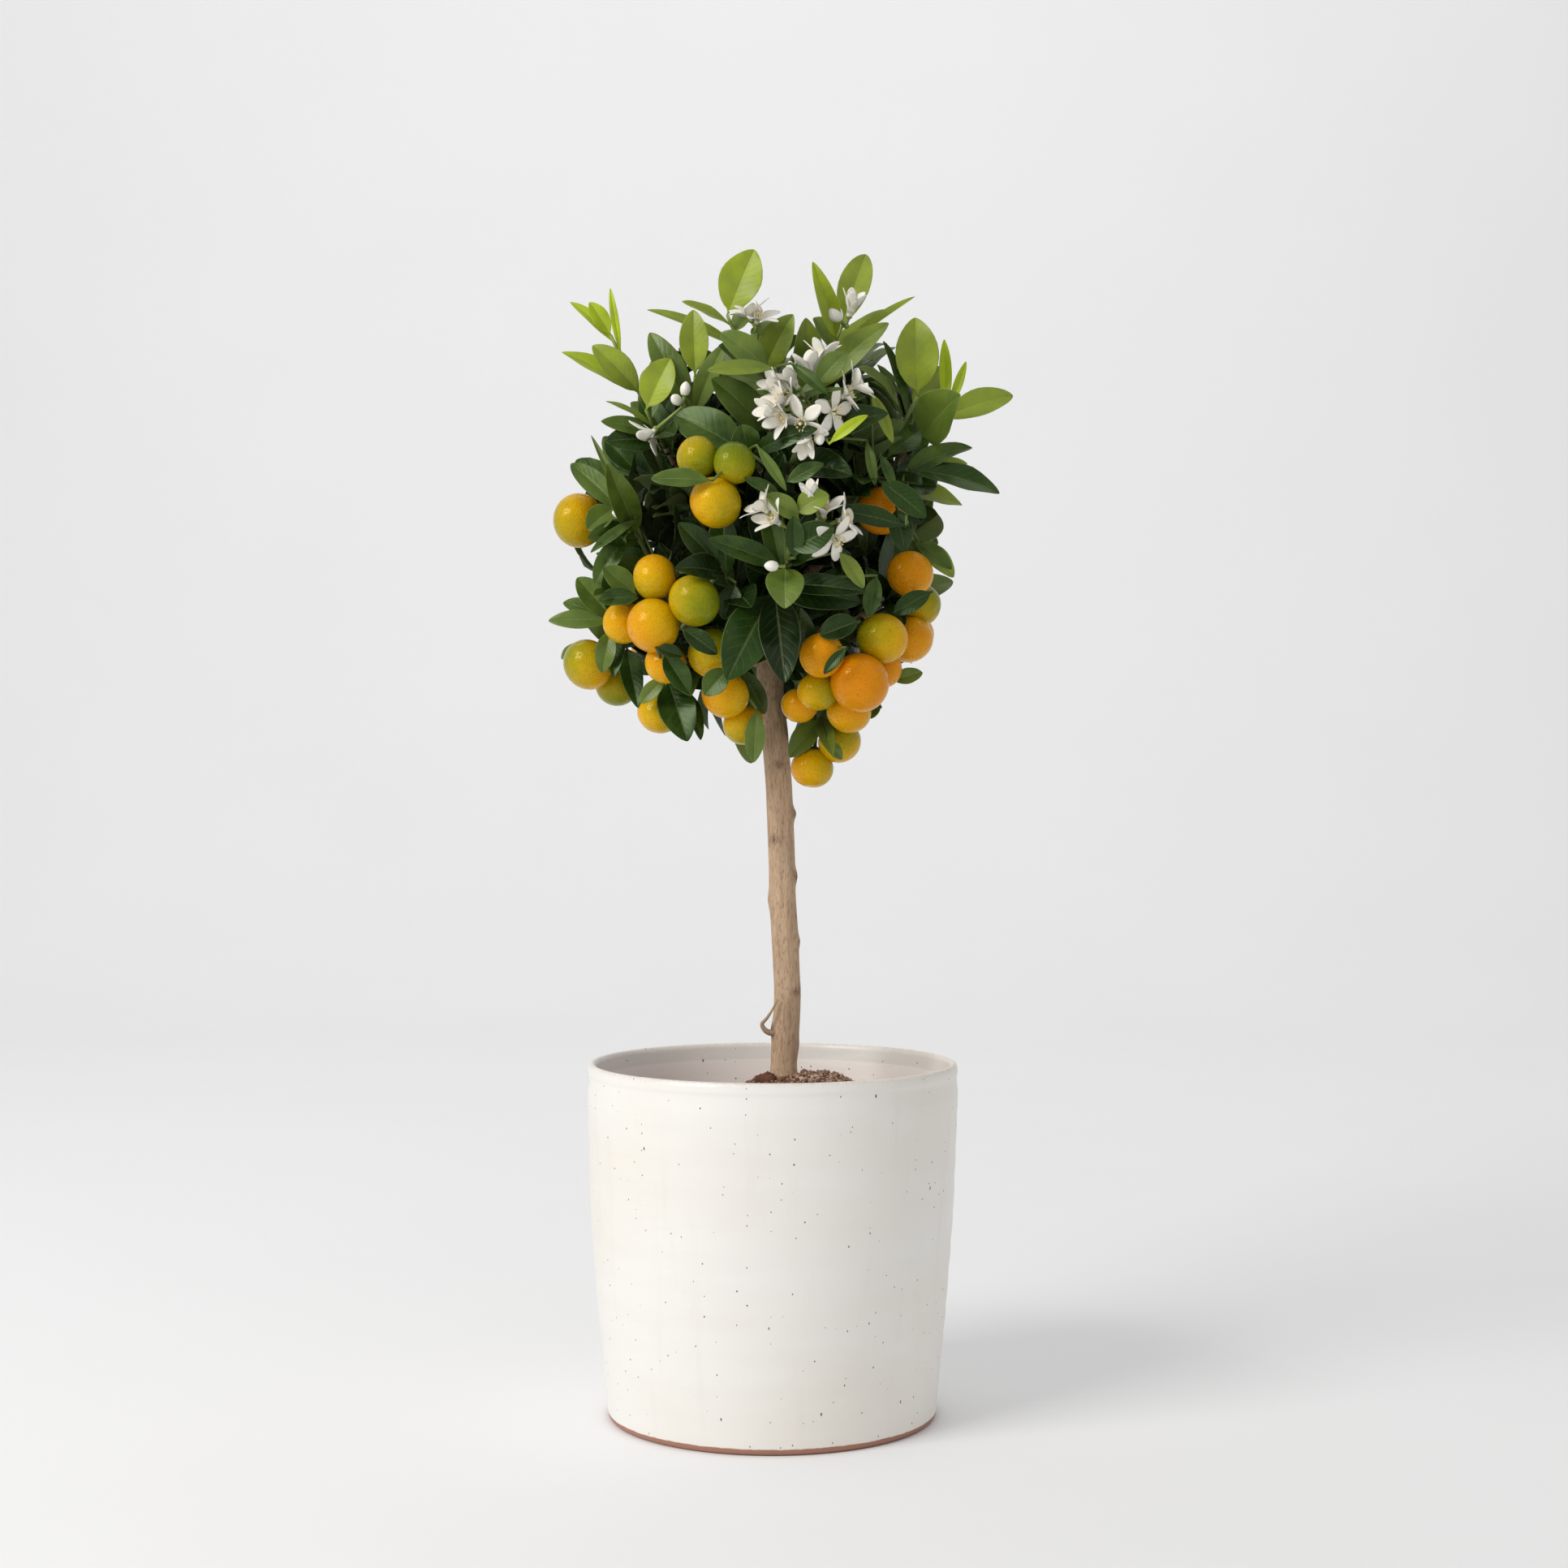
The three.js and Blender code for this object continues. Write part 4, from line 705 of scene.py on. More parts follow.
def fruit_material():
    g = Graph("citrus peel", Specular_IOR_Level=0.4, Specular_Tint=(1.0, 0.8, 0.35, 1.0))
    place, lat = g.place(), g.field("lat")
    blotch, freckle = g.noise(place, 95.0, 4.0, 0.6), g.noise(place, 520.0, 3.0, 0.6)
    shade = g.field("ripe") + (blotch - 0.5) * 0.30 + (freckle - 0.5) * 0.12
    peel = g.ramp(shade, (0.0, "586c0c"), (0.22, "7f860c"), (0.42, "b0980a"), (0.6, "d9a706"),
                  (0.8, "de9a06"), (1.0, "dd8606"))
    pore = g.fade(g.cells(place, 780.0)[0], 0.08, 0.42)
    peel = g.mix(pore * 0.16, peel, "8a6408")
    ends = g.math("MAXIMUM", g.step(lat, 0.035, 0.075, 0.75, 0.0), g.step(lat, 0.975, 0.995, 0.0, 0.4))
    skin = g.bump(pore, -0.0003, 0.7, Normal=g.bump(blotch, 0.0012, 0.35))
    return g.look(g.mix(ends, peel, "7a6a24"), blotch * 0.12 + 0.13, skin)


def petal_material():
    g = Graph("petal", Specular_IOR_Level=0.35)
    t = g.field("leaf_t")
    lengthwise = g.add("ShaderNodeCombineXYZ", {0: g.field("leaf_v") * 5.0, 1: t})
    lines, cloud = g.noise(lengthwise, 3.0, 2.0), g.noise(g.place(), 400.0)
    white = g.mix(g.step(cloud, 0.3, 0.7), "fffdf5", "fdf8e9")
    white = g.mix(g.step(t, 0.0, 0.3, 0.5, 0.0), white, "dfe3b4")
    white = g.mix(g.step(lines, 0.55, 0.75, 0.0, 0.2), white, "ebe6d3")
    g.let_through(0.1, "fffdf2")
    return g.look(white, cloud * 0.2 + 0.42, g.bump(lines + cloud, 0.0003, 0.5))


def anther_material():
    g = Graph("anther", Specular_IOR_Level=0.2)
    dust = g.noise(g.place(), 2400.0, 2.0)
    return g.look(g.mix(dust, "f5ebc4", "e6cc88"), dust * 0.2 + 0.7, g.bump(dust, 0.0003, 0.8))


LOOK = {
    "leaf": leaf_material("leaf upper face", False, 0.42),
    "under": leaf_material("leaf underside", True, 0.34),
    "young": leaf_material("young leaf upper face", False, 0.46, WHITE_SHEEN),
    "young_under": leaf_material("young leaf underside", True, 0.36, WHITE_SHEEN),
    "inner": leaf_material("shaded leaf upper face", False, 0.22),
    "inner_under": leaf_material("shaded leaf underside", True, 0.15),
    "stem": stem_material(),
    "bark": bark_material(),
    "glaze": glaze_material(),
    "soil": soil_material(),
    "fruit": fruit_material(),
    "petal": petal_material(),
    "anther": anther_material(),
}

# Leaves
FINE = {
    "rows": (0, 0.045, 0.09, 0.125, 0.165, 0.22, 0.3, 0.39, 0.48, 0.57, 0.66, 0.75, 0.83, 0.9, 0.955,
             0.988),
    "columns": (-1, -0.95, -0.72, -0.45, -0.2, -0.05, 0.05, 0.2, 0.45, 0.72, 0.95, 1),
}
PLAIN = {
    "rows": (0, 0.09, 0.14, 0.22, 0.36, 0.52, 0.68, 0.82, 0.93, 0.985),
    "columns": (-1, -0.93, -0.5, -0.06, 0.06, 0.5, 0.93, 1),
}
BLADE = {"half_thick": 0.17, "rib": 0.09, "groove": 0.22, "keel": 0.42, "stalk": 0.6, "ripples": 13}
WIDEN = 1.08  # how much wider a blade is made than its plan says
STEM_SLOT = 2


class Leaf:
    """A blade with its stalk, folded along the midrib and arched from base to tip."""

    def __init__(self, base, tip, width, facing, arch):
        self.base, self.along, self.length = base, unit(tip - base), np.linalg.norm(tip - base)
        self.width, self.arch, self.fold = WIDEN * width, arch, LEAF["fold"]
        self.twist = self.wave = self.phase = self.hook = 0.0
        self.face(facing)

    def face(self, way):
        """Turns the upper face as near to a way as the midrib lets it."""
        self.normal = unit(way - self.along * (way @ self.along))
        self.edge = np.cross(self.along, self.normal)

    def tip(self):
        return self.base + self.along * self.length

    def enliven(self, a, b):
        """Gives the leaf its own fold, small twist, wave and bend at the tip."""
        self.fold = LEAF["fold"] * (0.65 + 0.7 * draw(a, b, 25))
        self.twist = 0.55 * (draw(a, b, 21) - 0.5)
        self.wave = 0.03 + 0.05 * draw(a, b, 22)
        self.phase = 6.28 * draw(a, b, 23)
        self.hook = 0.30 * (draw(a, b, 24) - 0.25)
        return self

    def half_width(self, t):
        """A narrow stalk, then an oval blade."""
        blade = np.maximum(0, (t - 0.08) / 0.92)
        oval = self.width / 2 * np.maximum(np.sin(np.pi * blade**0.95), 0) ** 0.67
        return np.hypot(oval, 0.7 * smooth(0.16, 0.08, t))

    def points(self, t, v, lift):
        """Points of the leaf: t runs from base to tip, v from edge to edge, lift off its middle."""
        t, v, lift = (values[..., None] for values in np.broadcast_arrays(t, v, lift))
        turn, half_arch, half = self.arch * (t - 0.5), self.arch / 2, self.half_width(t)
        radius = self.length / (2 * math.sin(half_arch))
        middle = self.base + self.along * radius * (np.sin(turn) + math.sin(half_arch))
        middle = middle + self.normal * radius * (np.cos(turn) - math.cos(half_arch))
        up, spin = self.normal * np.cos(turn) + self.along * np.sin(turn), self.twist * (t - 0.45)
        edge = self.edge * np.cos(spin) + up * np.sin(spin)
        up = up * np.cos(spin) - self.edge * np.sin(spin)
        rise = (np.sqrt((v * half) ** 2 + 0.16) - 0.4) * math.sin(self.fold)
        ripple = self.wave * np.sin(BLADE["ripples"] * t + self.phase + 1.4 * np.sign(v)) * v * v * half
        hook = self.hook * np.maximum(0, t - 0.6) ** 2 * self.length
        return middle + edge * v * half * math.cos(self.fold) + up * (rise + ripple - hook + lift)

    def samples(self):
        """Points spread over the leaf that stand for it where room is looked for."""
        t, v = np.meshgrid([0.3, 0.45, 0.6, 0.75, 0.9, 1.0], [-0.75, 0.0, 0.75])
        return self.points(t.ravel(), v.ravel(), 0)

    def skin(self, detail):
        """The closed skin, a slot for each face, and how its points lie on the leaf."""
        columns = np.array(detail["columns"], float)
        v = np.concatenate([columns, columns[-2:0:-1]])[None, :]
        t = np.array(detail["rows"], float)[:, None]
        number = np.arange(v.size)
        rib, thick = np.exp(-((v / BLADE["rib"]) ** 2)), BLADE["half_thick"] * (1 - v**6)
        over = thick - BLADE["groove"] * rib * smooth(0.1, 0.2, t)
        below = -thick - BLADE["keel"] * rib * (1.05 - t)
        stalk = BLADE["stalk"] * np.sqrt(np.maximum(1 - v * v, 0))
        joint, upper = smooth(0.17, 0.07, t), number < len(columns)
        lift = np.where(upper, over, below) * (1 - joint) + np.where(upper, stalk, -stalk) * joint
        skin = loft(self.points(t, v, lift), *self.points(np.array([0.0, 1.0]), 0, 0))
        slots = np.where(number < len(columns) - 1, 0, 1)
        slots = np.concatenate([np.tile(slots, t.size - 1), np.full(v.size, STEM_SLOT), slots])
        return skin, slots, on_skin(t, lift.shape, 0, 1), on_skin(v, lift.shape, 0, 0)


def leaf_plan(name, index, n):
    """Where leaf number n of a shoot starts and points: drawn leaves first, then those by rule."""
    _, _, _, more, drawn = SHOOTS[name]
    curve = curves[name]
    if n < len(drawn):
        at, tip, width, *face = drawn[n]
        base = curve.at(max(at - LEAF["spacing"] * n, WOODY + 0.08))
        return base, vec(tip), width, unit(vec(FACING[face[0] if face else "front"]))
    k = n - len(drawn)
    share = (k + 1) / (more + 0.001)
    at = WOODY + (1 - WOODY) * (0.7 * share if drawn else share)
    base, tangent = curve.at(at), curve.along(at)
    angle = k * 2.4 + 6.28 * draw(index, n, 1)
    lean = 1.15 - 0.75 * share * (0.3 if drawn else 1)
    along = leaning(tangent, lean, angle)
    length = LEAF["length"] * (0.82 + 0.36 * draw(index, n, 2))
    facing = unit(unit(base - CROWN_CENTRE) + vec(0, 0, 0.7))
    return base, base + along * length, length * LEAF["slender"], facing


def leaning(tangent, lean, angle):
    """A direction that leans off a stem's own, at an angle round it."""
    side, other = across(tangent, vec(0.1, 0.2, 1))
    out = side * math.cos(angle) + other * math.sin(angle)
    return unit(tangent * math.cos(lean) + out * math.sin(lean))


def leaf_try(index, n, attempt, base, tip, width, facing):
    """A way to set one leaf: as planned first, then turned a little further each time."""
    spin = 2 * math.pi * draw(index, n, attempt)
    swing = LEAF_TRIES["swing"] * attempt
    length = np.linalg.norm(tip - base) * (1 - LEAF_TRIES["shorten"] * attempt)
    along = unit(tip - base)
    sideways = unit(np.cross(facing, along))
    upright = np.cross(along, sideways)
    along = unit(along + sideways * swing * math.cos(spin) + upright * swing * math.sin(spin))
    arch = LEAF["arch"] * (0.5 + draw(n, index, 5))
    width = width * (1 - LEAF_TRIES["narrow"] * attempt)
    return Leaf(base, base + along * length, width, facing, arch)


def standing_leaf(name, index, n, corners):
    """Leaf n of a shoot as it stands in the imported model, found by its tip, or None."""
    plan = leaf_plan(name, index, n)
    for attempt in range(LEAF_TRIES["count"]):
        leaf = leaf_try(index, n, attempt, *plan)
        ends = leaf.points(1, 0, np.array([1, -1]) * LEAF["half_thick"])
        if all(np.linalg.norm(corners - end, axis=1).min() < 0.1 for end in ends):
            return redrawn(leaf, name, n)
    return None


def redrawn(leaf, name, n):
    """The same leaf as the photo shows it."""
    move, share = REDRAWN.get((name, n), ((0, 0, 0), 1.0))
    tip = leaf.tip() + vec(move)
    # One set by rule stays inside the lines
    if n >= len(SHOOTS[name][4]):
        steps = leaf.base + np.linspace(1, 0.5, 11)[:, None] * (tip - leaf.base)
        outside = over_lines(on_photo(steps))
        tip = steps[-1 if outside.all() else int(np.argmin(outside))]
    leaf = Leaf(leaf.base, tip, leaf.width / WIDEN * share, leaf.normal, leaf.arch)
    # One lying flat in front is rolled a little, so that its upper face shows
    if leaf.normal[1] > -0.55 and leaf.base[1] < 10:
        leaf.face(leaf.normal + vec(0, -0.75, 0))
        leaf.width *= 1.15
    return leaf


def over_lines(seen):
    """Which points, as seen on the photo, lie outside the lines that leaves set by rule keep to?"""
    outside = seen[:, 1] > TOP_LINE
    right = np.where(seen[:, 1] > RIGHT_LINES[1][0], RIGHT_LINES[1][1], RIGHT_LINES[0][1])
    outside |= (seen[:, 0] > LOW_CORNER[0]) & (seen[:, 1] < LOW_CORNER[1])
    return outside | ((seen[:, 1] > RIGHT_LINES[0][0]) & (seen[:, 0] > right))


class Taken:
    """Places taken by leaves, fruit and blossom, so that new leaves keep off them."""

    def __init__(self):
        self.leaves = []
        self.fruit = np.array([[*c, r] for rows in FRUITS.values() for c, r, *_ in rows])
        self.heads = np.array([[*c, HEAD_ROOM] for c, *_ in HEADS])

    def add(self, points):
        self.leaves.append(points)
        for at in on_photo(points):
            covered.spread(at, 5, 1)

    def off_leaves(self, points):
        known = np.array(self.leaves)
        near = np.linalg.norm(known[:, 8] - points[8], axis=1) < LEAF["length"] + 2
        close = known[near].reshape(-1, 3)
        return np.linalg.norm(points[:, None] - close, axis=2).min(initial=99)

    def off_balls(self, points, balls):
        return (np.linalg.norm(points[:, None] - balls[:, :3], axis=2) - balls[:, 3]).min()


class Sheet:
    """A grid over what the camera sees that holds the highest value put in each cell."""

    cell, left, low, size = 2, -180, -30, (180, 200)

    def __init__(self, empty):
        self.cells = np.full(self.size, empty, float)

    def index(self, seen):
        i = ((seen[..., 0] - self.left) / self.cell).astype(int)
        j = ((seen[..., 1] - self.low) / self.cell).astype(int)
        return np.clip(i, 0, self.size[0] - 1), np.clip(j, 0, self.size[1] - 1)

    def spread(self, at, radius, value):
        i, j = self.index(at)
        reach = int(radius / self.cell)
        for k in range(-reach, reach + 1):
            half = int(math.sqrt(reach * reach - k * k))
            if 0 <= i + k < self.size[0]:
                part = self.cells[i + k, max(j - half, 0) : j + half + 1]
                np.maximum(part, value, out=part)

    def read(self, seen):
        return self.cells[self.index(seen)]

    def middle(self, i, j):
        return self.left + self.cell * (i + 0.5), self.low + self.cell * (j + 0.5)


def on_photo(points):
    """Where points show from the front: across, up, and depth."""
    x, y, z = EYE["place"]
    scale = -y / (points[:, 1] - y)
    return np.stack([(points[:, 0] - x) * scale, (points[:, 2] - z) * scale, points[:, 1]], 1)


def placed_leaf(seed, base, tip, width, facing):
    """The leaf nearest to a drawn one that has room, or None."""
    best, most = None, PLACING["least"]
    for attempt in range(PLACING["tries"]):
        reach = PLACING["step"] * attempt
        away = vec(*(draw(seed, attempt, k) - 0.5 for k in (81, 82, 83)))
        leaf = leaf_try(seed, 3, 0, base, tip + away * reach + vec(0, -0.15 * reach, 0), width, facing)
        points = leaf.samples()
        room = taken.off_leaves(points)
        if room > most and taken.off_balls(points, taken.fruit) > PLACING["off_fruit"]:
            best, most = leaf, room
        if most > PLACING["enough"]:
            break
    return best


def shoot_youth(name, index, n, tip):
    """How lime a shoot's leaf is: more so near the top, the sides and the bottom of the crown."""
    youth = 0.14 + 0.52 * smooth(*LIMIER["up"], tip[2]) + 0.34 * smooth(*LIMIER["out"], abs(tip[0]))
    youth += 0.16 * smooth(*LIMIER["down"], tip[2]) + 0.16 * (draw(index, n, 31) - 0.5)
    # Adds the listed shifts, which hold painted light and shade as well as age
    youth += dict(enumerate(AGE_AND_LIGHT_SHIFTS.get(name, ()))).get(n, 0)
    return 0.97 if n in TENDER.get(name, ()) else float(np.clip(youth, 0, 1))


def add_leaf(owner, leaf, youth, seed, n):
    """Adds a leaf to its shoot and gives it a form of its own."""
    taken.add(leaf.samples())
    leaves[owner].append((leaf.enliven(seed, n), youth, FINE))


covered = Sheet(0)
taken = Taken()
# For each shoot and limb: its leaves as (leaf, youth, detail), lines of side sprigs, and of stalks
leaves, sprig_lines, stalks = ({name: [] for name in (*SHOOTS, *INNER)} for _ in range(3))
missing = []
for index, (name, row) in enumerate(SHOOTS.items()):
    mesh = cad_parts["shoot_" + name].data
    corners = np.empty(len(mesh.vertices) * 3, np.float32)
    mesh.vertices.foreach_get("co", corners)
    corners = corners.reshape(-1, 3) / MM
    for n in range(row[3] + len(row[4])):
        leaf = standing_leaf(name, index, n, corners)
        if leaf:
            add_leaf(name, leaf, shoot_youth(name, index, n, leaf.tip()), index, n)
        elif n < len(row[4]):
            missing.append((name, index, n))
found = len(taken.leaves)
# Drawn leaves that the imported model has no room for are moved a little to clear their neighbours
for name, index, n in missing:
    leaf = placed_leaf(index + 7 * n, *leaf_plan(name, index, n))
    if leaf:
        add_leaf(name, leaf, shoot_youth(name, index, n, leaf.tip()), index, n)
joints = [(name, point) for name, curve in curves.items() for point in curve.points(WOODY, 1, 12)]
for n, (base, tip, width, youth) in enumerate(FRONT_LEAVES):
    base = vec(base)
    leaf = placed_leaf(50 + n, base, vec(tip), width, unit(vec(0, -1, 0.3)))
    if leaf:
        behind = [joint for joint in joints if joint[1][1] > base[1] + 4]
        name, start = min(behind, key=lambda joint: np.linalg.norm(joint[1] - base))
        add_leaf(name, leaf, youth, 50, n)
        reach = np.linalg.norm(start - base)
        if reach > 1:
            line = Bow(start, base + leaf.along * 0.5, (0, -0.15 * reach, 1))
            stalks[name].append(line.points(0, 1, 7))
print(f"{found} leaves stand in the packed model, and {len(taken.leaves) - found} more are drawn")


# Side sprigs
# What a new leaf has to stay behind, and the outline it stays in
BACK = 40  # the furthest back that a new leaf ever has to stay
front, outline = Sheet(-1e3), Sheet(0)
for at in on_photo(np.concatenate(taken.leaves)):
    outline.spread(at, 12, 1)
    if at[2] < 20:
        front.spread(at, 9, at[2] + 5)
for balls, margin in ((taken.fruit, 2), (taken.heads, 5)):
    for at, radius in zip(on_photo(balls), balls[:, 3]):
        if at[2] < 0:
            front.spread(at, radius + margin, at[2] + 4)


def fits(points):
    """Does a new leaf stay in the crown and its outline, behind what shows in front?"""
    out = np.linalg.norm((points - CROWN_CENTRE) / CROWN_REACH, axis=1)
    heights = points[:, 2]
    if out.max() > ROOM["reach"] or heights.min() < ROOM["low"] or heights.max() > ROOM["high"]:
        return False
    seen = on_photo(points)
    if not outline.read(seen).all() or (seen[:, 2] < np.minimum(front.read(seen), BACK)).any():
        return False
    if over_lines(seen).any() or taken.off_balls(points, taken.fruit) <= ROOM["off_fruit"]:
        return False
    off_heads = taken.off_balls(points, taken.heads) > ROOM["off_heads"]
    return off_heads and taken.off_leaves(points) > ROOM["off_leaves"]


def sprig_leaf(line, share, seed, n):
    """Leaf n of a sprig with its youth, turned round the stem until it fits, or None."""
    base, tangent = line.at(share), line.along(share)
    facing = unit(unit(base - CROWN_CENTRE) + vec(0, 0, 0.8))
    length = LEAF["length"] * (0.66 + 0.40 * draw(seed, n, 52))
    arch, width = LEAF["arch"] * (0.5 + draw(seed, n, 53)), length * (0.40 + 0.1 * draw(seed, n, 54))
    for attempt in range(8):
        away = leaning(tangent, 1.05 - 0.6 * share, n * 2.4 + 6.28 * draw(seed, n, 42 + attempt))
        if abs(facing @ away) > 0.97:
            continue
        leaf = Leaf(base, base + away * length, width, facing, arch)
        points = leaf.samples()
        if fits(points):
            taken.add(points)
            outer = np.linalg.norm((leaf.tip() - CROWN_CENTRE) / CROWN_REACH)
            youth = 0.02 + 0.34 * smooth(560, 715, leaf.tip()[2]) * smooth(0.5, 0.9, outer)
            youth += 0.16 * smooth(0.6, 1.0, outer) + 0.1 * draw(seed, n, 55)
            return leaf.enliven(seed, n), float(youth), PLAIN
    return None


def grow_sprig(owner, curve, at, reach, count, seed, lean):
    """A thin side stem with leaves, where at least two of them fit."""
    start = curve.at(at)
    along = leaning(curve.along(at), lean, 6.28 * draw(seed, at, 41))
    along = unit(along + 0.5 * unit(start - CROWN_CENTRE + vec(0, 0, 60)))
    line = Bow(start, start + along * reach, vec(0, 0, 0.08 * reach))
    places = np.linspace(0.25, 1, count)
    grown = [(share, sprig_leaf(line, share, seed, n)) for n, share in enumerate(places)]
    grown = [(share, leaf) for share, leaf in grown if leaf]
    if len(grown) > 1:
        leaves[owner] += [leaf for _, leaf in grown]
        sprig_lines[owner].append(line.points(0, grown[-1][0], 6))


# Sprigs on shoots and on limbs: rounds, where the first is, steps between rounds and how loose they
# are, least reach and how much more, leaves, lean
seed = 100
for owners, stems, rounds, first, step, loose, least, more, count, lean in (
    ({name: name for name in SHOOTS}, curves, 8, 0.2, 0.1, 0.1, 26, 26, 7, 0.9),
    (INNER, limb_curves, 16, 0.25, 0.046, 0.08, 25, 65, 9, 1.2),
):
    for round_number in range(rounds):
        for owner, stem in owners.items():
            seed += 1
            at = first + step * round_number + loose * draw(seed, 1, 61)
            grow_sprig(owner, stems[stem], at, least + more * draw(seed, 2, 61), count, seed, lean)

# Leaves deep in the crown close the holes that would let the backdrop through
DEPTHS = (20, 50, -10, 75, 35, 5)
HOLES = {"centre": (-3, 152), "reach": (86, 100)}  # where they are closed, as seen on the photo
anchors = [("limb_" + name, point) for name, curve in limb_curves.items()
           for point in curve.points(0.15, 1, 18)]
spots = np.array([point for _, point in anchors])


def close_hole(right, up, seed):
    """A leaf on the nearest limb that covers a hole, at the first depth where one fits."""
    for attempt, depth in enumerate(DEPTHS):
        scale = 1 + depth / -EYE["place"][1]
        target = vec(EYE["place"][0] + right * scale, depth, EYE["place"][2] + up * scale)
        owner, start = anchors[int(np.argmin(np.linalg.norm(spots - target, axis=1)))]
        spin = 6.28 * draw(seed, attempt, 91)
        flat = vec(math.cos(spin), 0.5 * (draw(seed, attempt, 92) - 0.5), math.sin(spin))
        away = unit(flat + 0.6 * unit(target - start))
        length = 30 + 16 * draw(seed, attempt, 93)
        base = target - away * length * 0.55
        facing = unit(vec(0.4 * (draw(seed, attempt, 94) - 0.5), -1, 0.7))
        leaf = Leaf(base, base + away * length, 0.48 * length, facing, 0.5)
        points = leaf.samples()
        if np.linalg.norm(base - start) < 60 and fits(points):
            taken.add(points)
            leaves[owner].append((leaf.enliven(seed, attempt), 0.1 * draw(seed, 1, 95), PLAIN))
            sprig_lines[owner].append([start, (start + base) / 2 + vec(0, 0, 2), base])
            return


for _ in range(3):
    for i, j in np.argwhere(covered.cells == 0):
        away = (vec(covered.middle(i, j)) - HOLES["centre"]) / HOLES["reach"]
        if not covered.cells[i, j] and away @ away <= 1:
            seed += 1
            close_hole(*covered.middle(i, j), seed)
print(f"{sum(map(len, leaves.values()))} leaves in all; {int((covered.cells > 0).sum())} cells covered")


# Stalks, fruit and blossom
def along_line(start, ahead, *places):
    return [start + ahead * place for place in places]


def fruit_stalk(shape, start, centre, radius):
    """A green stalk that ends in a five-lobed calyx pressed on the fruit."""
    towards = unit(start - centre)
    seat = centre + towards * (radius * FLAT_FRUIT - 0.5)
    line = along_line(seat, towards, *np.linspace(1.2, np.linalg.norm(start - seat), 5))
    shape.add(tube(line, [1.25, 1.05, 1.0, 1.05, 1.2], 10), STEM_SLOT, youth=0.45)
    lobes, plain = 1 + 0.16 * np.cos(5 * turns(20)), np.ones(20)
    radii = [2.3 * lobes, 3.1 * lobes, 2.9 * lobes, 1.9 * lobes, 1.3 * plain]
    rings = tube_rings(along_line(seat, towards, 0.0, 0.35, 0.9, 1.5, 2.1), radii, 20)
    shape.add(loft(rings, seat, seat + towards * 2.2), STEM_SLOT, youth=0.225)


def fruit_skin(centre, radius, towards, ripe, green_side, seed):
    """A slightly flattened, faintly lobed fruit with a dimple at its stalk and a small scar below."""
    lat, turn = np.linspace(0, 1, 32)[1:-1, None], turns(40)[None, :]
    down = np.pi * lat
    lobes = 1 + 0.012 * np.cos(8 * turn + seed) * np.exp(-(((lat - 0.12) / 0.16) ** 2))
    lump = 1 + 0.012 * np.sin(2 * turn + seed) * np.sin(down) + 0.008 * np.sin(3 * down + 2 * seed)
    side, other = across(towards, vec(0.3, 0.7, 0.2))
    flat = (radius * np.sin(down) * lobes * lump)[..., None]
    tall = radius * FLAT_FRUIT * np.cos(down) * lump
    tall = tall - 0.8 * np.exp(-((lat / 0.09) ** 2)) + 0.5 * np.exp(-(((1 - lat) / 0.05) ** 2))
    rings = centre + flat * (np.cos(turn)[..., None] * side + np.sin(turn)[..., None] * other)
    rings = rings + tall[..., None] * towards
    half = radius * FLAT_FRUIT
    skin = loft(rings, centre + towards * (half - 0.8), centre - towards * (half - 0.4))
    out = (skin[0] - centre) / radius
    return skin, ripe - 0.20 * (out @ unit(vec(green_side))), on_skin(lat, rings.shape[:2], 0, 1)


def petal_skin(centre, axis, out, opening, seed):
    """One waxy petal: narrow at its root, widest past the middle, cupped and curled back."""
    edge = np.cross(axis, out)
    ahead = axis * math.cos(opening) + out * math.sin(opening)
    up = np.cross(ahead, edge)
    t = np.array([0.0, 0.1, 0.22, 0.36, 0.5, 0.64, 0.77, 0.88, 0.96])[:, None]
    v = np.array([-1, -0.62, -0.22, 0.22, 0.62, 1, 0.62, 0.22, -0.22, -0.62])[None, :]
    oval = np.maximum(1 - np.maximum(0, (t - 0.46) / 0.54) ** 2.1, 0) ** 0.62
    half = PETAL["width"] / 2 * (0.3 + 0.7 * smooth(0, 0.5, t)) * oval
    bend = PETAL["curl"] * (0.7 + 0.7 * draw(seed, 1, 71)) * min(opening / 1.1, 1.25)
    cup = 0.16 * half * v * v + 0.05 * half * np.sin(9 * t + seed)
    thick = PETAL["half_thick"] * (1 - v**4) * np.where(np.arange(v.size) <= v.size // 2, 1, -1)
    lift = thick + cup - bend * t**2.2
    start = centre + ahead * PETAL["throat"]
    rings = start + ahead * (PETAL["length"] * t)[..., None] + edge * (v * half)[..., None]
    rings = rings + up * lift[..., None]
    skin = loft(rings, rings[0].mean(0), start + ahead * PETAL["length"] - up * bend)
    return skin, on_skin(t, lift.shape, 0, 1), on_skin(v, lift.shape, 0, 0)


def green_cup(shape, root, seat, axis, stalk, places, radii, frill, youth):
    """A head's stalk and its green cup with five points: first and last place close the cup."""
    shape.add(tube([root - axis * 1.3, (root + seat) / 2, seat], stalk, 10), STEM_SLOT, youth=0.8)
    start, *middle, end = along_line(seat, axis, *places)
    cup = tube_rings(middle, radii, 15)
    cup[-1] = cup[-1] + axis * frill * np.cos(5 * turns(15))[:, None]
    shape.add(loft(cup, start, end), STEM_SLOT, youth=youth)


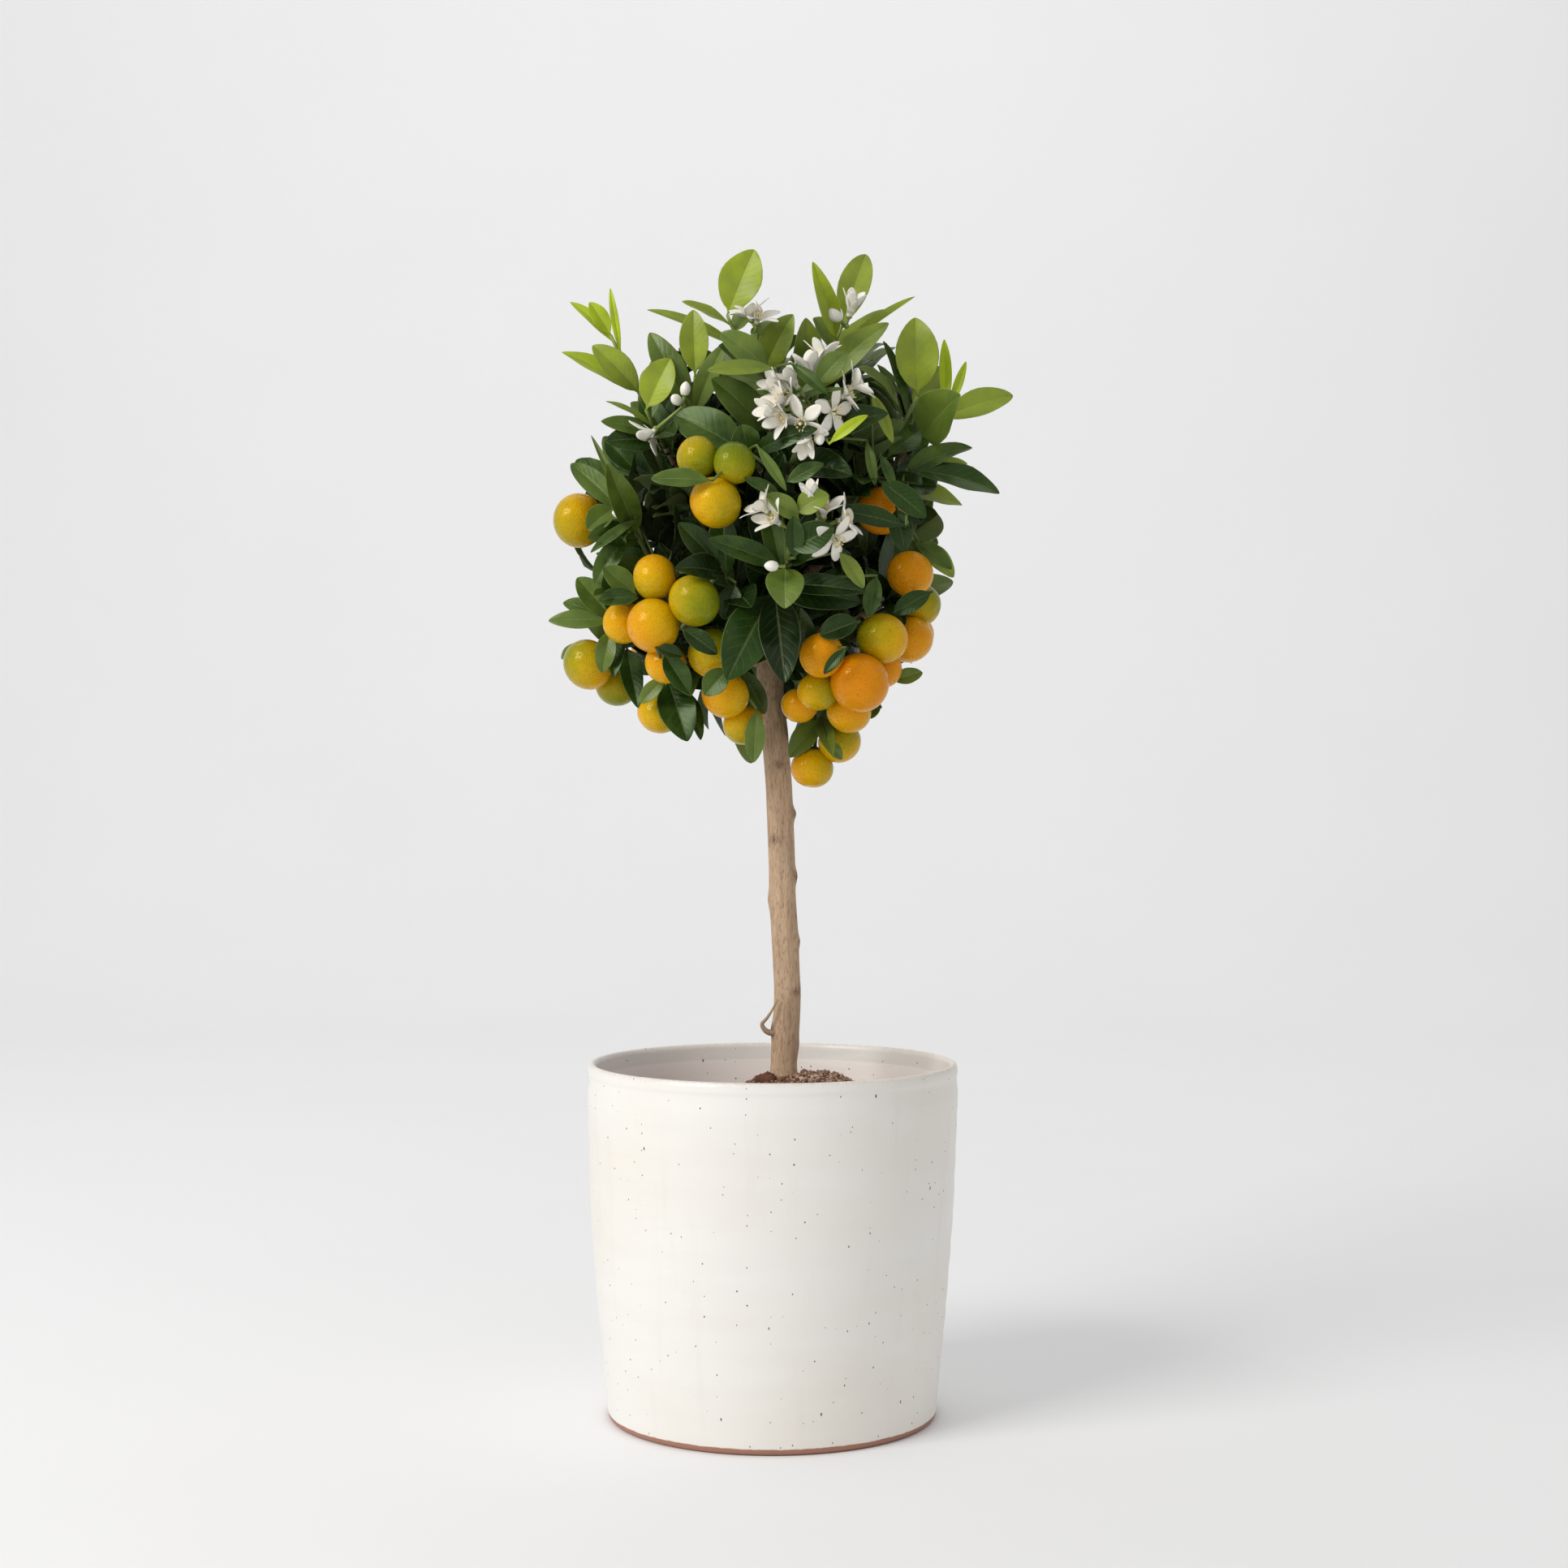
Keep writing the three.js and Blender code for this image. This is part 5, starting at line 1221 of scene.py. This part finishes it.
def add_flower(shape, root, centre, opening, seed):
    axis = unit(centre - root)
    side, other = across(axis, vec(0.2, 0.3, 0.93))

    def spoke(turn):
        return side * math.cos(2 * math.pi * turn) + other * math.sin(2 * math.pi * turn)

    neck = centre - axis * 3
    green_cup(shape, root, neck, axis, [0.9, 0.95, 1.3], (-0.5, -0.3, 0.5, 1.4, 1.2), [1.2, 2.0, 2.3],
              0.5, 0.75)
    heart = tube([neck + axis * 0.8, centre, centre + axis * 0.9], [1.6, 1.7, 1.2], 12)
    shape.add(heart, 0, leaf_t=0.05)
    for i in range(5):
        bend = opening * (0.92 + 0.16 * draw(seed, i, 72))
        skin, t, v = petal_skin(centre, axis, spoke(i / 5 + 0.02 * draw(seed, i, 73)), bend, seed + i)
        shape.add(skin, 0, leaf_t=t, leaf_v=v)
    for i in range(STAMENS):
        out = spoke((i + 0.5 * draw(seed, i, 74)) / STAMENS)
        lean = 0.16 + 0.14 * draw(seed, i, 75) + 0.12 * opening
        ahead = axis * math.cos(lean) + out * math.sin(lean)
        foot, tall = centre + out * 1.25, 4.6 + 1.4 * draw(seed, i, 76)
        tip = foot + ahead * tall
        line = [foot, foot + ahead * tall * 0.55 + out * 0.15, tip]
        shape.add(tube(line, [0.45, 0.34, 0.22], 5), 0, leaf_t=0.6)
        shape.add(tube(along_line(tip, ahead, -0.5, 0.1, 0.9, 1.5), [0.2, 0.45, 0.45, 0.15], 6), 1)
    shape.add(tube(along_line(centre, axis, 0, 3.2, 4.6), [0.9, 0.45, 0.45], 8), STEM_SLOT, youth=1.0)
    shape.add(tube(along_line(centre, axis, 4.4, 4.9, 5.6, 6.1), [0.4, 1.05, 1.0, 0.3], 10), 1)


def add_bud(shape, root, base, size=1.0):
    """A closed bud: petals wrapped tight, seams between them, in a small green cup."""
    axis, around = unit(base - root), 30
    t = np.array([0, 0.06, 0.14, 0.24, 0.36, 0.48, 0.6, 0.72, 0.83, 0.92, 0.975])[:, None]
    share = np.interp(t, [0, 0.12, 0.38, 0.6, 0.8, 0.95, 1], [0.5, 0.78, 1.0, 0.98, 0.74, 0.34, 0.12])
    lane = np.mod(turns(around) * 5 / (2 * np.pi) + 0.3 * t, 1) - 0.5
    radii = share * BUD["radius"] * size * (1 - 0.07 * np.exp(-((lane / 0.09) ** 2)))
    length = BUD["length"] * size
    rings = tube_rings(base + axis * length * t, radii, around)
    skin = loft(rings, base, base + axis * length)
    shape.add(skin, 0, leaf_t=on_skin(0.2 + 0.8 * t, radii.shape, 0.2, 1))
    green_cup(shape, root, base, axis, [0.9, 0.9, 1.3], (-0.8, -0.6, 0.3, 1.5, 1.0), [1.1, 2.0, 2.75],
              0.6, 0.72)


FIELDS = ("leaf_t", "leaf_v", "youth")
LEAFY = [LOOK[key] for key in ("leaf", "under", "stem", "young", "young_under", "inner", "inner_under")]
shapes = {}
for name, (_, _, tip, *_) in SHOOTS.items():
    shape = shapes[name] = Shape("sprig_" + name, LEAFY, FIELDS)
    green = 0.25 + 0.6 * float(smooth(520, 700, tip[2]))
    youth = on_skin(np.linspace(0.1, green, 10)[:, None], (10, 12), 0.1, green)
    line = curves[name].points(WOODY - 0.02, 1, 10)
    shape.add(tube(line, np.linspace(1.75, 1.05, 10), 12), STEM_SLOT, youth=youth)
for name in INNER:
    shapes[name] = Shape("inner_" + INNER[name], LEAFY, FIELDS)
for name, cluster in FRUITS.items():
    shape = Shape("citrus_" + name, [LOOK["fruit"]], ("ripe", "lat"))
    for i, (centre, radius, shoot, along, ripe, green_side) in enumerate(cluster):
        centre, start = vec(centre), curves[shoot].at(along)
        fruit_stalk(shapes[shoot], start, centre, radius)
        skin, shade, lat = fruit_skin(centre, radius, unit(start - centre), ripe, green_side, i + len(name))
        shape.add(skin, 0, ripe=shade, lat=lat)
    ripe = sum(row[4] for row in cluster) / len(cluster)
    shape.build("fruit_" + name, "fruit_green" if ripe < 0.5 else "fruit_yellow" if ripe < 0.75
                else "fruit_orange")
for number, (name, (shoot, at, root, heads)) in enumerate(BLOOMS.items()):
    shape = Shape("blossom_" + name, [LOOK["petal"], LOOK["anther"], LOOK["stem"]], FIELDS)
    root, start = vec(root), curves[shoot].at(at)
    foot = root
    if len(heads) > 1:
        knuckle = along_line(root, unit(root - start), -1.9, -1.1, 0, 1.1, 1.9)
        shape.add(tube(knuckle, [1.0, 1.7, 1.9, 1.6, 0.9], 12), STEM_SLOT, youth=0.75)
    else:
        foot = root - unit(vec(heads[0][0]) - root) * 1.3
    if np.linalg.norm(start - foot) > 0.5:
        stalk = tube([foot, (foot + start) / 2, start], [1.1, 1.0, 1.1], 10)
        shapes[shoot].add(stalk, STEM_SLOT, youth=0.7)
    for i, (centre, opening, *size) in enumerate([*heads, *MORE_HEADS.get(name, ())]):
        if opening:
            add_flower(shape, root, vec(centre), math.radians(opening), 10 * number + i)
        else:
            add_bud(shape, root, vec(centre), *size)
    shape.build("bloom_" + name, "petal")
for name, shape in shapes.items():
    for line in (*sprig_lines[name], *stalks[name]):
        shape.add(tube(line, np.linspace(1.25, 0.8, len(line)), 8), STEM_SLOT, youth=0.35)
    for leaf, youth, detail in leaves[name]:
        skin, slots, t, v = leaf.skin(detail)
        kind = 3 if youth > YOUNG else 5 if detail is PLAIN else 0
        slots = np.where(slots < STEM_SLOT, slots + kind, STEM_SLOT)
        shape.add(skin, slots, leaf_t=t, leaf_v=v, youth=youth)
    if name in INNER:
        if leaves[name]:
            shape.build(None, "leaf")
    else:
        shape.build("shoot_" + name, "young_leaf" if SHOOTS[name][2][2] > 630 else "leaf")


# Wood
def trunk_skin():
    """The stem: a slow wander, a taper at its head, and bumps and scars where twigs were cut."""
    line = spline(TRUNK_LINE, 22)
    rings = tube_rings(line, np.ones(len(line)), 56)
    out = rings - line[:, None]
    facing = np.arctan2(out[..., 0], -out[..., 1])
    z = line[:, 2][:, None]
    radius = TRUNK["radius"] + (TRUNK["top"] - TRUNK["radius"]) * smooth(474, 530, z) + 0 * facing
    scar = 0 * facing
    for height, angle, proud, size in TRUNK_BUMPS:
        turn = (np.degrees(facing) - angle + 180) % 360 - 180
        radius += proud * np.exp(-(((z - height) / size) ** 2) - (turn / 38) ** 2)
        scar = np.maximum(scar, np.exp(-(((z - height) / 2.6) ** 2) - (turn / 22) ** 2))
    radius += 0.35 * np.sin(3 * facing + z / 17) + 0.22 * np.sin(7 * facing - z / 23)
    radius += 0.3 * np.sin(z / 11.0) * np.cos(facing + z / 31)
    radius += 1.6 * smooth(222, 205, z)
    skin = loft(line[:, None] + out * radius[..., None], line[0], line[-1])
    return skin, on_skin(scar, scar.shape, 0, 0)


wood = Shape("stem_and_branches", [LOOK["bark"]], ("scar",))
skin, scar = trunk_skin()
wood.add(skin, 0, scar=scar)
spur = spline(SPUR_LINE, 6)
thick = np.interp(np.linspace(0, 1, len(spur)), [0, 0.3, 0.6, 1], [2.4, 1.5, 0.95, 0.5])
wood.add(tube(spur, thick, 16), 0, scar=0.15)
for name, curve in limb_curves.items():
    foot, tip = LIMB_RADII["leader" if name == "leader" else "others"]
    share = np.linspace(0, 1, 18)
    radii = foot + (tip - foot) * share + 0.18 * np.sin(9 * share + len(name))
    wood.add(tube(curve.points(0, 1, 18), radii, 20))
for curve in curves.values():
    wood.add(tube(curve.points(0, WOODY, 8), np.linspace(2.4, 1.7, 8), 12))
wood.build("trunk_and_limbs", "bark")


# Pot and soil
def rounded(corners, steps, radius):
    """A line through corners with each corner rounded."""
    corners = [vec(c) for c in corners]
    out = [corners[0]]
    for a, b, c in zip(corners, corners[1:], corners[2:]):
        reach = min(radius, np.linalg.norm(b - a) / 2.2, np.linalg.norm(c - b) / 2.2)
        start, end = b + unit(a - b) * reach, b + unit(c - b) * reach
        out += [(1 - t) ** 2 * start + 2 * t * (1 - t) * b + t * t * end for t in np.linspace(0, 1, steps)]
    return np.array([*out, corners[-1]])


def inside_radius(z):
    low, high = POT["floor"] + 6, POT["height"] - 9
    share = (z - low) / (high - low)
    return (POT["foot"] + 0.5 - POT["wall"]) * (1 - share) + (POT["rim"] - POT["wall"]) * share


def pot_skin():
    """The thrown pot, a little out of round, and where its lip and its outer wall are."""
    height, rim, foot, wall, floor = (POT[k] for k in ("height", "rim", "foot", "wall", "floor"))
    bends = [vec(foot, 3.5), vec(foot + 6, 72), vec(foot + 10.4, 130), vec(rim, height - 18)]
    side = [bends[0]]
    for a, b, steps in zip(bends, bends[1:], (8, 7, 7)):
        side += [a + (b - a) * s for s in np.linspace(0, 1, steps + 1)[1:]]
    # The lip as distances in from the rim and down from the top
    lip = ((0.9, 8.5), (0.1, 6), (0.3, 2.6), (1.2, 0.6), (2.5, 0), (4.0, 0.5), (5.1, 2.4), (wall, 8))
    inside = [(inside_radius(z), z) for z in np.linspace(height - 12, floor + 8, 10)]
    profile = rounded([(0.5, 0), (foot - 3, 0), (foot - 0.6, 1.0), *side,
                       *((rim - inward, height - down) for inward, down in lip), *inside,
                       (foot - 12, floor), (0.5, floor)], 4, 1.6)
    turn, r, z = turns(224), profile[:, :1], profile[:, 1:]
    sway = 0.55 * np.sin(2 * turn + z / 60) + 0.3 * np.sin(3 * turn - z / 45)
    sway += 0.18 * np.sin(5 * turn + z / 30)
    rills = 0.16 * np.sin(z / 3.1) * smooth(6, 20, z) * smooth(223, 205, z)
    r = r + (sway * smooth(0, 30, z) + rills) * smooth(60, 90, r)
    rings = np.stack([r * np.cos(turn), r * np.sin(turn), z + 0 * r], 2)
    on_wall = np.where(np.arange(len(profile))[:, None] < len(profile) * 0.75, 1.0, 0.0)
    on_lip = np.exp(-(((z - height) / 2.2) ** 2))
    skin = loft(rings, vec(0, 0, 0), vec(0, 0, floor))
    return skin, on_skin(on_lip, r.shape, 0, 0), on_skin(on_wall, r.shape, 1, 0)


pot = Shape("glazed_pot", [LOOK["glaze"]], ("lip", "wall"))
skin, lip, wall = pot_skin()
pot.add(skin, 0, lip=lip, wall=wall)
pot.build("pot", "pot_glaze")


def soil_height(x, y):
    cx, cy = SOIL["centre"]
    away = np.hypot(x - cx, y - cy) / SOIL["spread"]
    lumps = 1.2 * np.sin(x / 9) * np.cos(y / 11 + 1) + 0.8 * np.sin((x + y) / 6)
    return SOIL["edge"] + SOIL["mound"] / (1 + away**4) + lumps


def crumbs(x, y):
    """Fine unevenness of loose soil."""
    rough = 0.55 * np.sin(x * 0.83 + 1.7 * np.sin(y * 0.61)) * np.cos(y * 0.77 + 1.3 * np.sin(x * 0.53))
    return rough + 0.35 * np.sin(x * 1.9 + 2.1 * np.sin(y * 1.3)) * np.cos(y * 2.1 + np.sin(x * 1.7))


def soil_skin():
    bottom, corner, edge = POT["floor"] + GAP, POT["floor"] + 6, SOIL["edge"]
    outer = inside_radius(edge - 2) - SOIL["clear"]
    cos, sin = np.cos(turns(160)), np.sin(turns(160))
    wall = ((POT["foot"] - 13.5, bottom), (inside_radius(corner) - SOIL["clear"], corner + GAP),
            (outer, edge - 6))
    rings = [np.stack([r * cos, r * sin, 0 * cos + z], 1) for r, z in wall]
    for share in np.linspace(1, 0.01, 60):
        x, y = outer * share * cos, outer * share * sin
        rings.append(np.stack([x, y, soil_height(x, y) + crumbs(x, y)], 1))
    return loft(rings, vec(0, 0, bottom), vec(0, 0, soil_height(0.0, 0.0)))


def icosahedron():
    g = (1 + 5**0.5) / 2
    points = [(-1, g, 0), (1, g, 0), (-1, -g, 0), (1, -g, 0), (0, -1, g), (0, 1, g), (0, -1, -g),
              (0, 1, -g), (g, 0, -1), (g, 0, 1), (-g, 0, -1), (-g, 0, 1)]
    faces = [(0, 11, 5), (0, 5, 1), (0, 1, 7), (0, 7, 10), (0, 10, 11), (1, 5, 9), (5, 11, 4),
             (11, 10, 2), (10, 7, 6), (7, 1, 8), (3, 9, 4), (3, 4, 2), (3, 2, 6), (3, 6, 8), (3, 8, 9),
             (4, 9, 5), (2, 4, 11), (6, 2, 10), (8, 6, 7), (9, 8, 1)]
    return np.array(points) / np.linalg.norm(points[0]), np.array([[*f, -1] for f in faces])


earth = Shape("soil_surface", [LOOK["soil"]], ("tint",))
earth.add(soil_skin(), 0, tint=0.38)
rng = np.random.default_rng(7)
ball, ball_faces = icosahedron()
reach = inside_radius(SOIL["edge"]) - 4
for _ in range(SOIL["crumbs"]):
    r, turn = reach * math.sqrt(rng.random()), 2 * math.pi * rng.random()
    if rng.random() < 0.45:
        r *= 0.55
    x, y = r * math.cos(turn), r * math.sin(turn)
    size = 0.6 + 1.1 * rng.random() ** 2
    if math.hypot(x - 8, y) < 11 + size:
        continue
    crumb = ball * (1 + 0.25 * rng.standard_normal((12, 1))) * size * (0.7 + 0.5 * rng.random(3))
    z = soil_height(x, y) + crumbs(x, y) + 0.25 * size
    tint = 0.3 + 0.5 * rng.random() + (0.26 if x > 12 else 0)
    earth.add((crumb + vec(x, y, z), ball_faces), 0, tint=tint)
for x, y, size, tint in CLODS:
    clod = ball * (1 + 0.16 * rng.standard_normal((12, 1))) * size
    earth.add((clod + vec(x, y, soil_height(x, y) + 0.35 * size), ball_faces), 0, tint=tint)
earth.build("soil", "soil")


# Studio
STAGE = {"front": -7.0, "bend": 2.3, "radius": 1.5, "half": 7.0, "top": 7.0, "drop": 0.00005}


def stage_mesh():
    """A floor that sweeps up behind into a backdrop."""
    bend, radius = STAGE["bend"], STAGE["radius"]
    line = [(STAGE["front"], 0.0), (bend, 0.0)]
    line += [(bend + radius * math.sin(a), radius * (1 - math.cos(a)))
             for a in np.linspace(0, math.pi / 2, 24)[1:]]
    line += [(bend + radius, STAGE["top"])]
    points = [(x, y, z - STAGE["drop"]) for y, z in line for x in (-STAGE["half"], STAGE["half"])]
    faces = [(2 * i, 2 * i + 1, 2 * i + 3, 2 * i + 2) for i in range(len(line) - 1)]
    mesh = bpy.data.meshes.new("studio floor")
    mesh.from_pydata(points, [], faces)
    mesh.shade_smooth()
    return mesh


def paper_material():
    g = Graph("studio paper", Specular_IOR_Level=0.2)
    cloud = g.noise(g.place(), 3.0, 2.0)
    return g.look(g.mix(cloud, "f5f5f5", "f8f8f8"), cloud * 0.1 + 0.75)


def softbox(name, place, aim, size, power, colour):
    light = bpy.data.lights.new(name, "AREA")
    light.shape, light.size, light.size_y = "RECTANGLE", *size
    light.energy, light.color = power, colour
    lamp = bpy.data.objects.new(name, light)
    lamp.location, lamp.rotation_mode = place, "QUATERNION"
    lamp.rotation_quaternion = (Vector(aim) - Vector(place)).to_track_quat("-Z", "Y")
    bpy.context.scene.collection.objects.link(lamp)


floor = bpy.data.objects.new("studio_floor", stage_mesh())
floor.data.materials.append(paper_material())
bpy.context.scene.collection.objects.link(floor)

world = bpy.context.scene.world or bpy.data.worlds.new("studio")
bpy.context.scene.world = world
world.use_nodes = True
world.node_tree.nodes["Background"].inputs["Color"].default_value = (0.99, 0.99, 1.0, 1)
world.node_tree.nodes["Background"].inputs["Strength"].default_value = 0.56
softbox("window light", (-2.1, -1.7, 1.9), (0, 0, 0.4), (1.5, 1.5), 54, (1.0, 0.985, 0.965))
softbox("backdrop light", (0.0, 1.2, 3.4), (0, 3.8, 1.0), (4.0, 1.0), 26, (1.0, 1.0, 1.0))

camera = bpy.data.objects.new("camera", bpy.data.cameras.new("camera"))
camera.data.lens, camera.data.sensor_width = EYE["lens"], 36
camera.location = Vector(EYE["place"]) * MM
camera.rotation_euler = (math.pi / 2, 0, 0)
bpy.context.scene.collection.objects.link(camera)
bpy.context.scene.camera = camera
bpy.context.scene.view_settings.view_transform = "Standard"
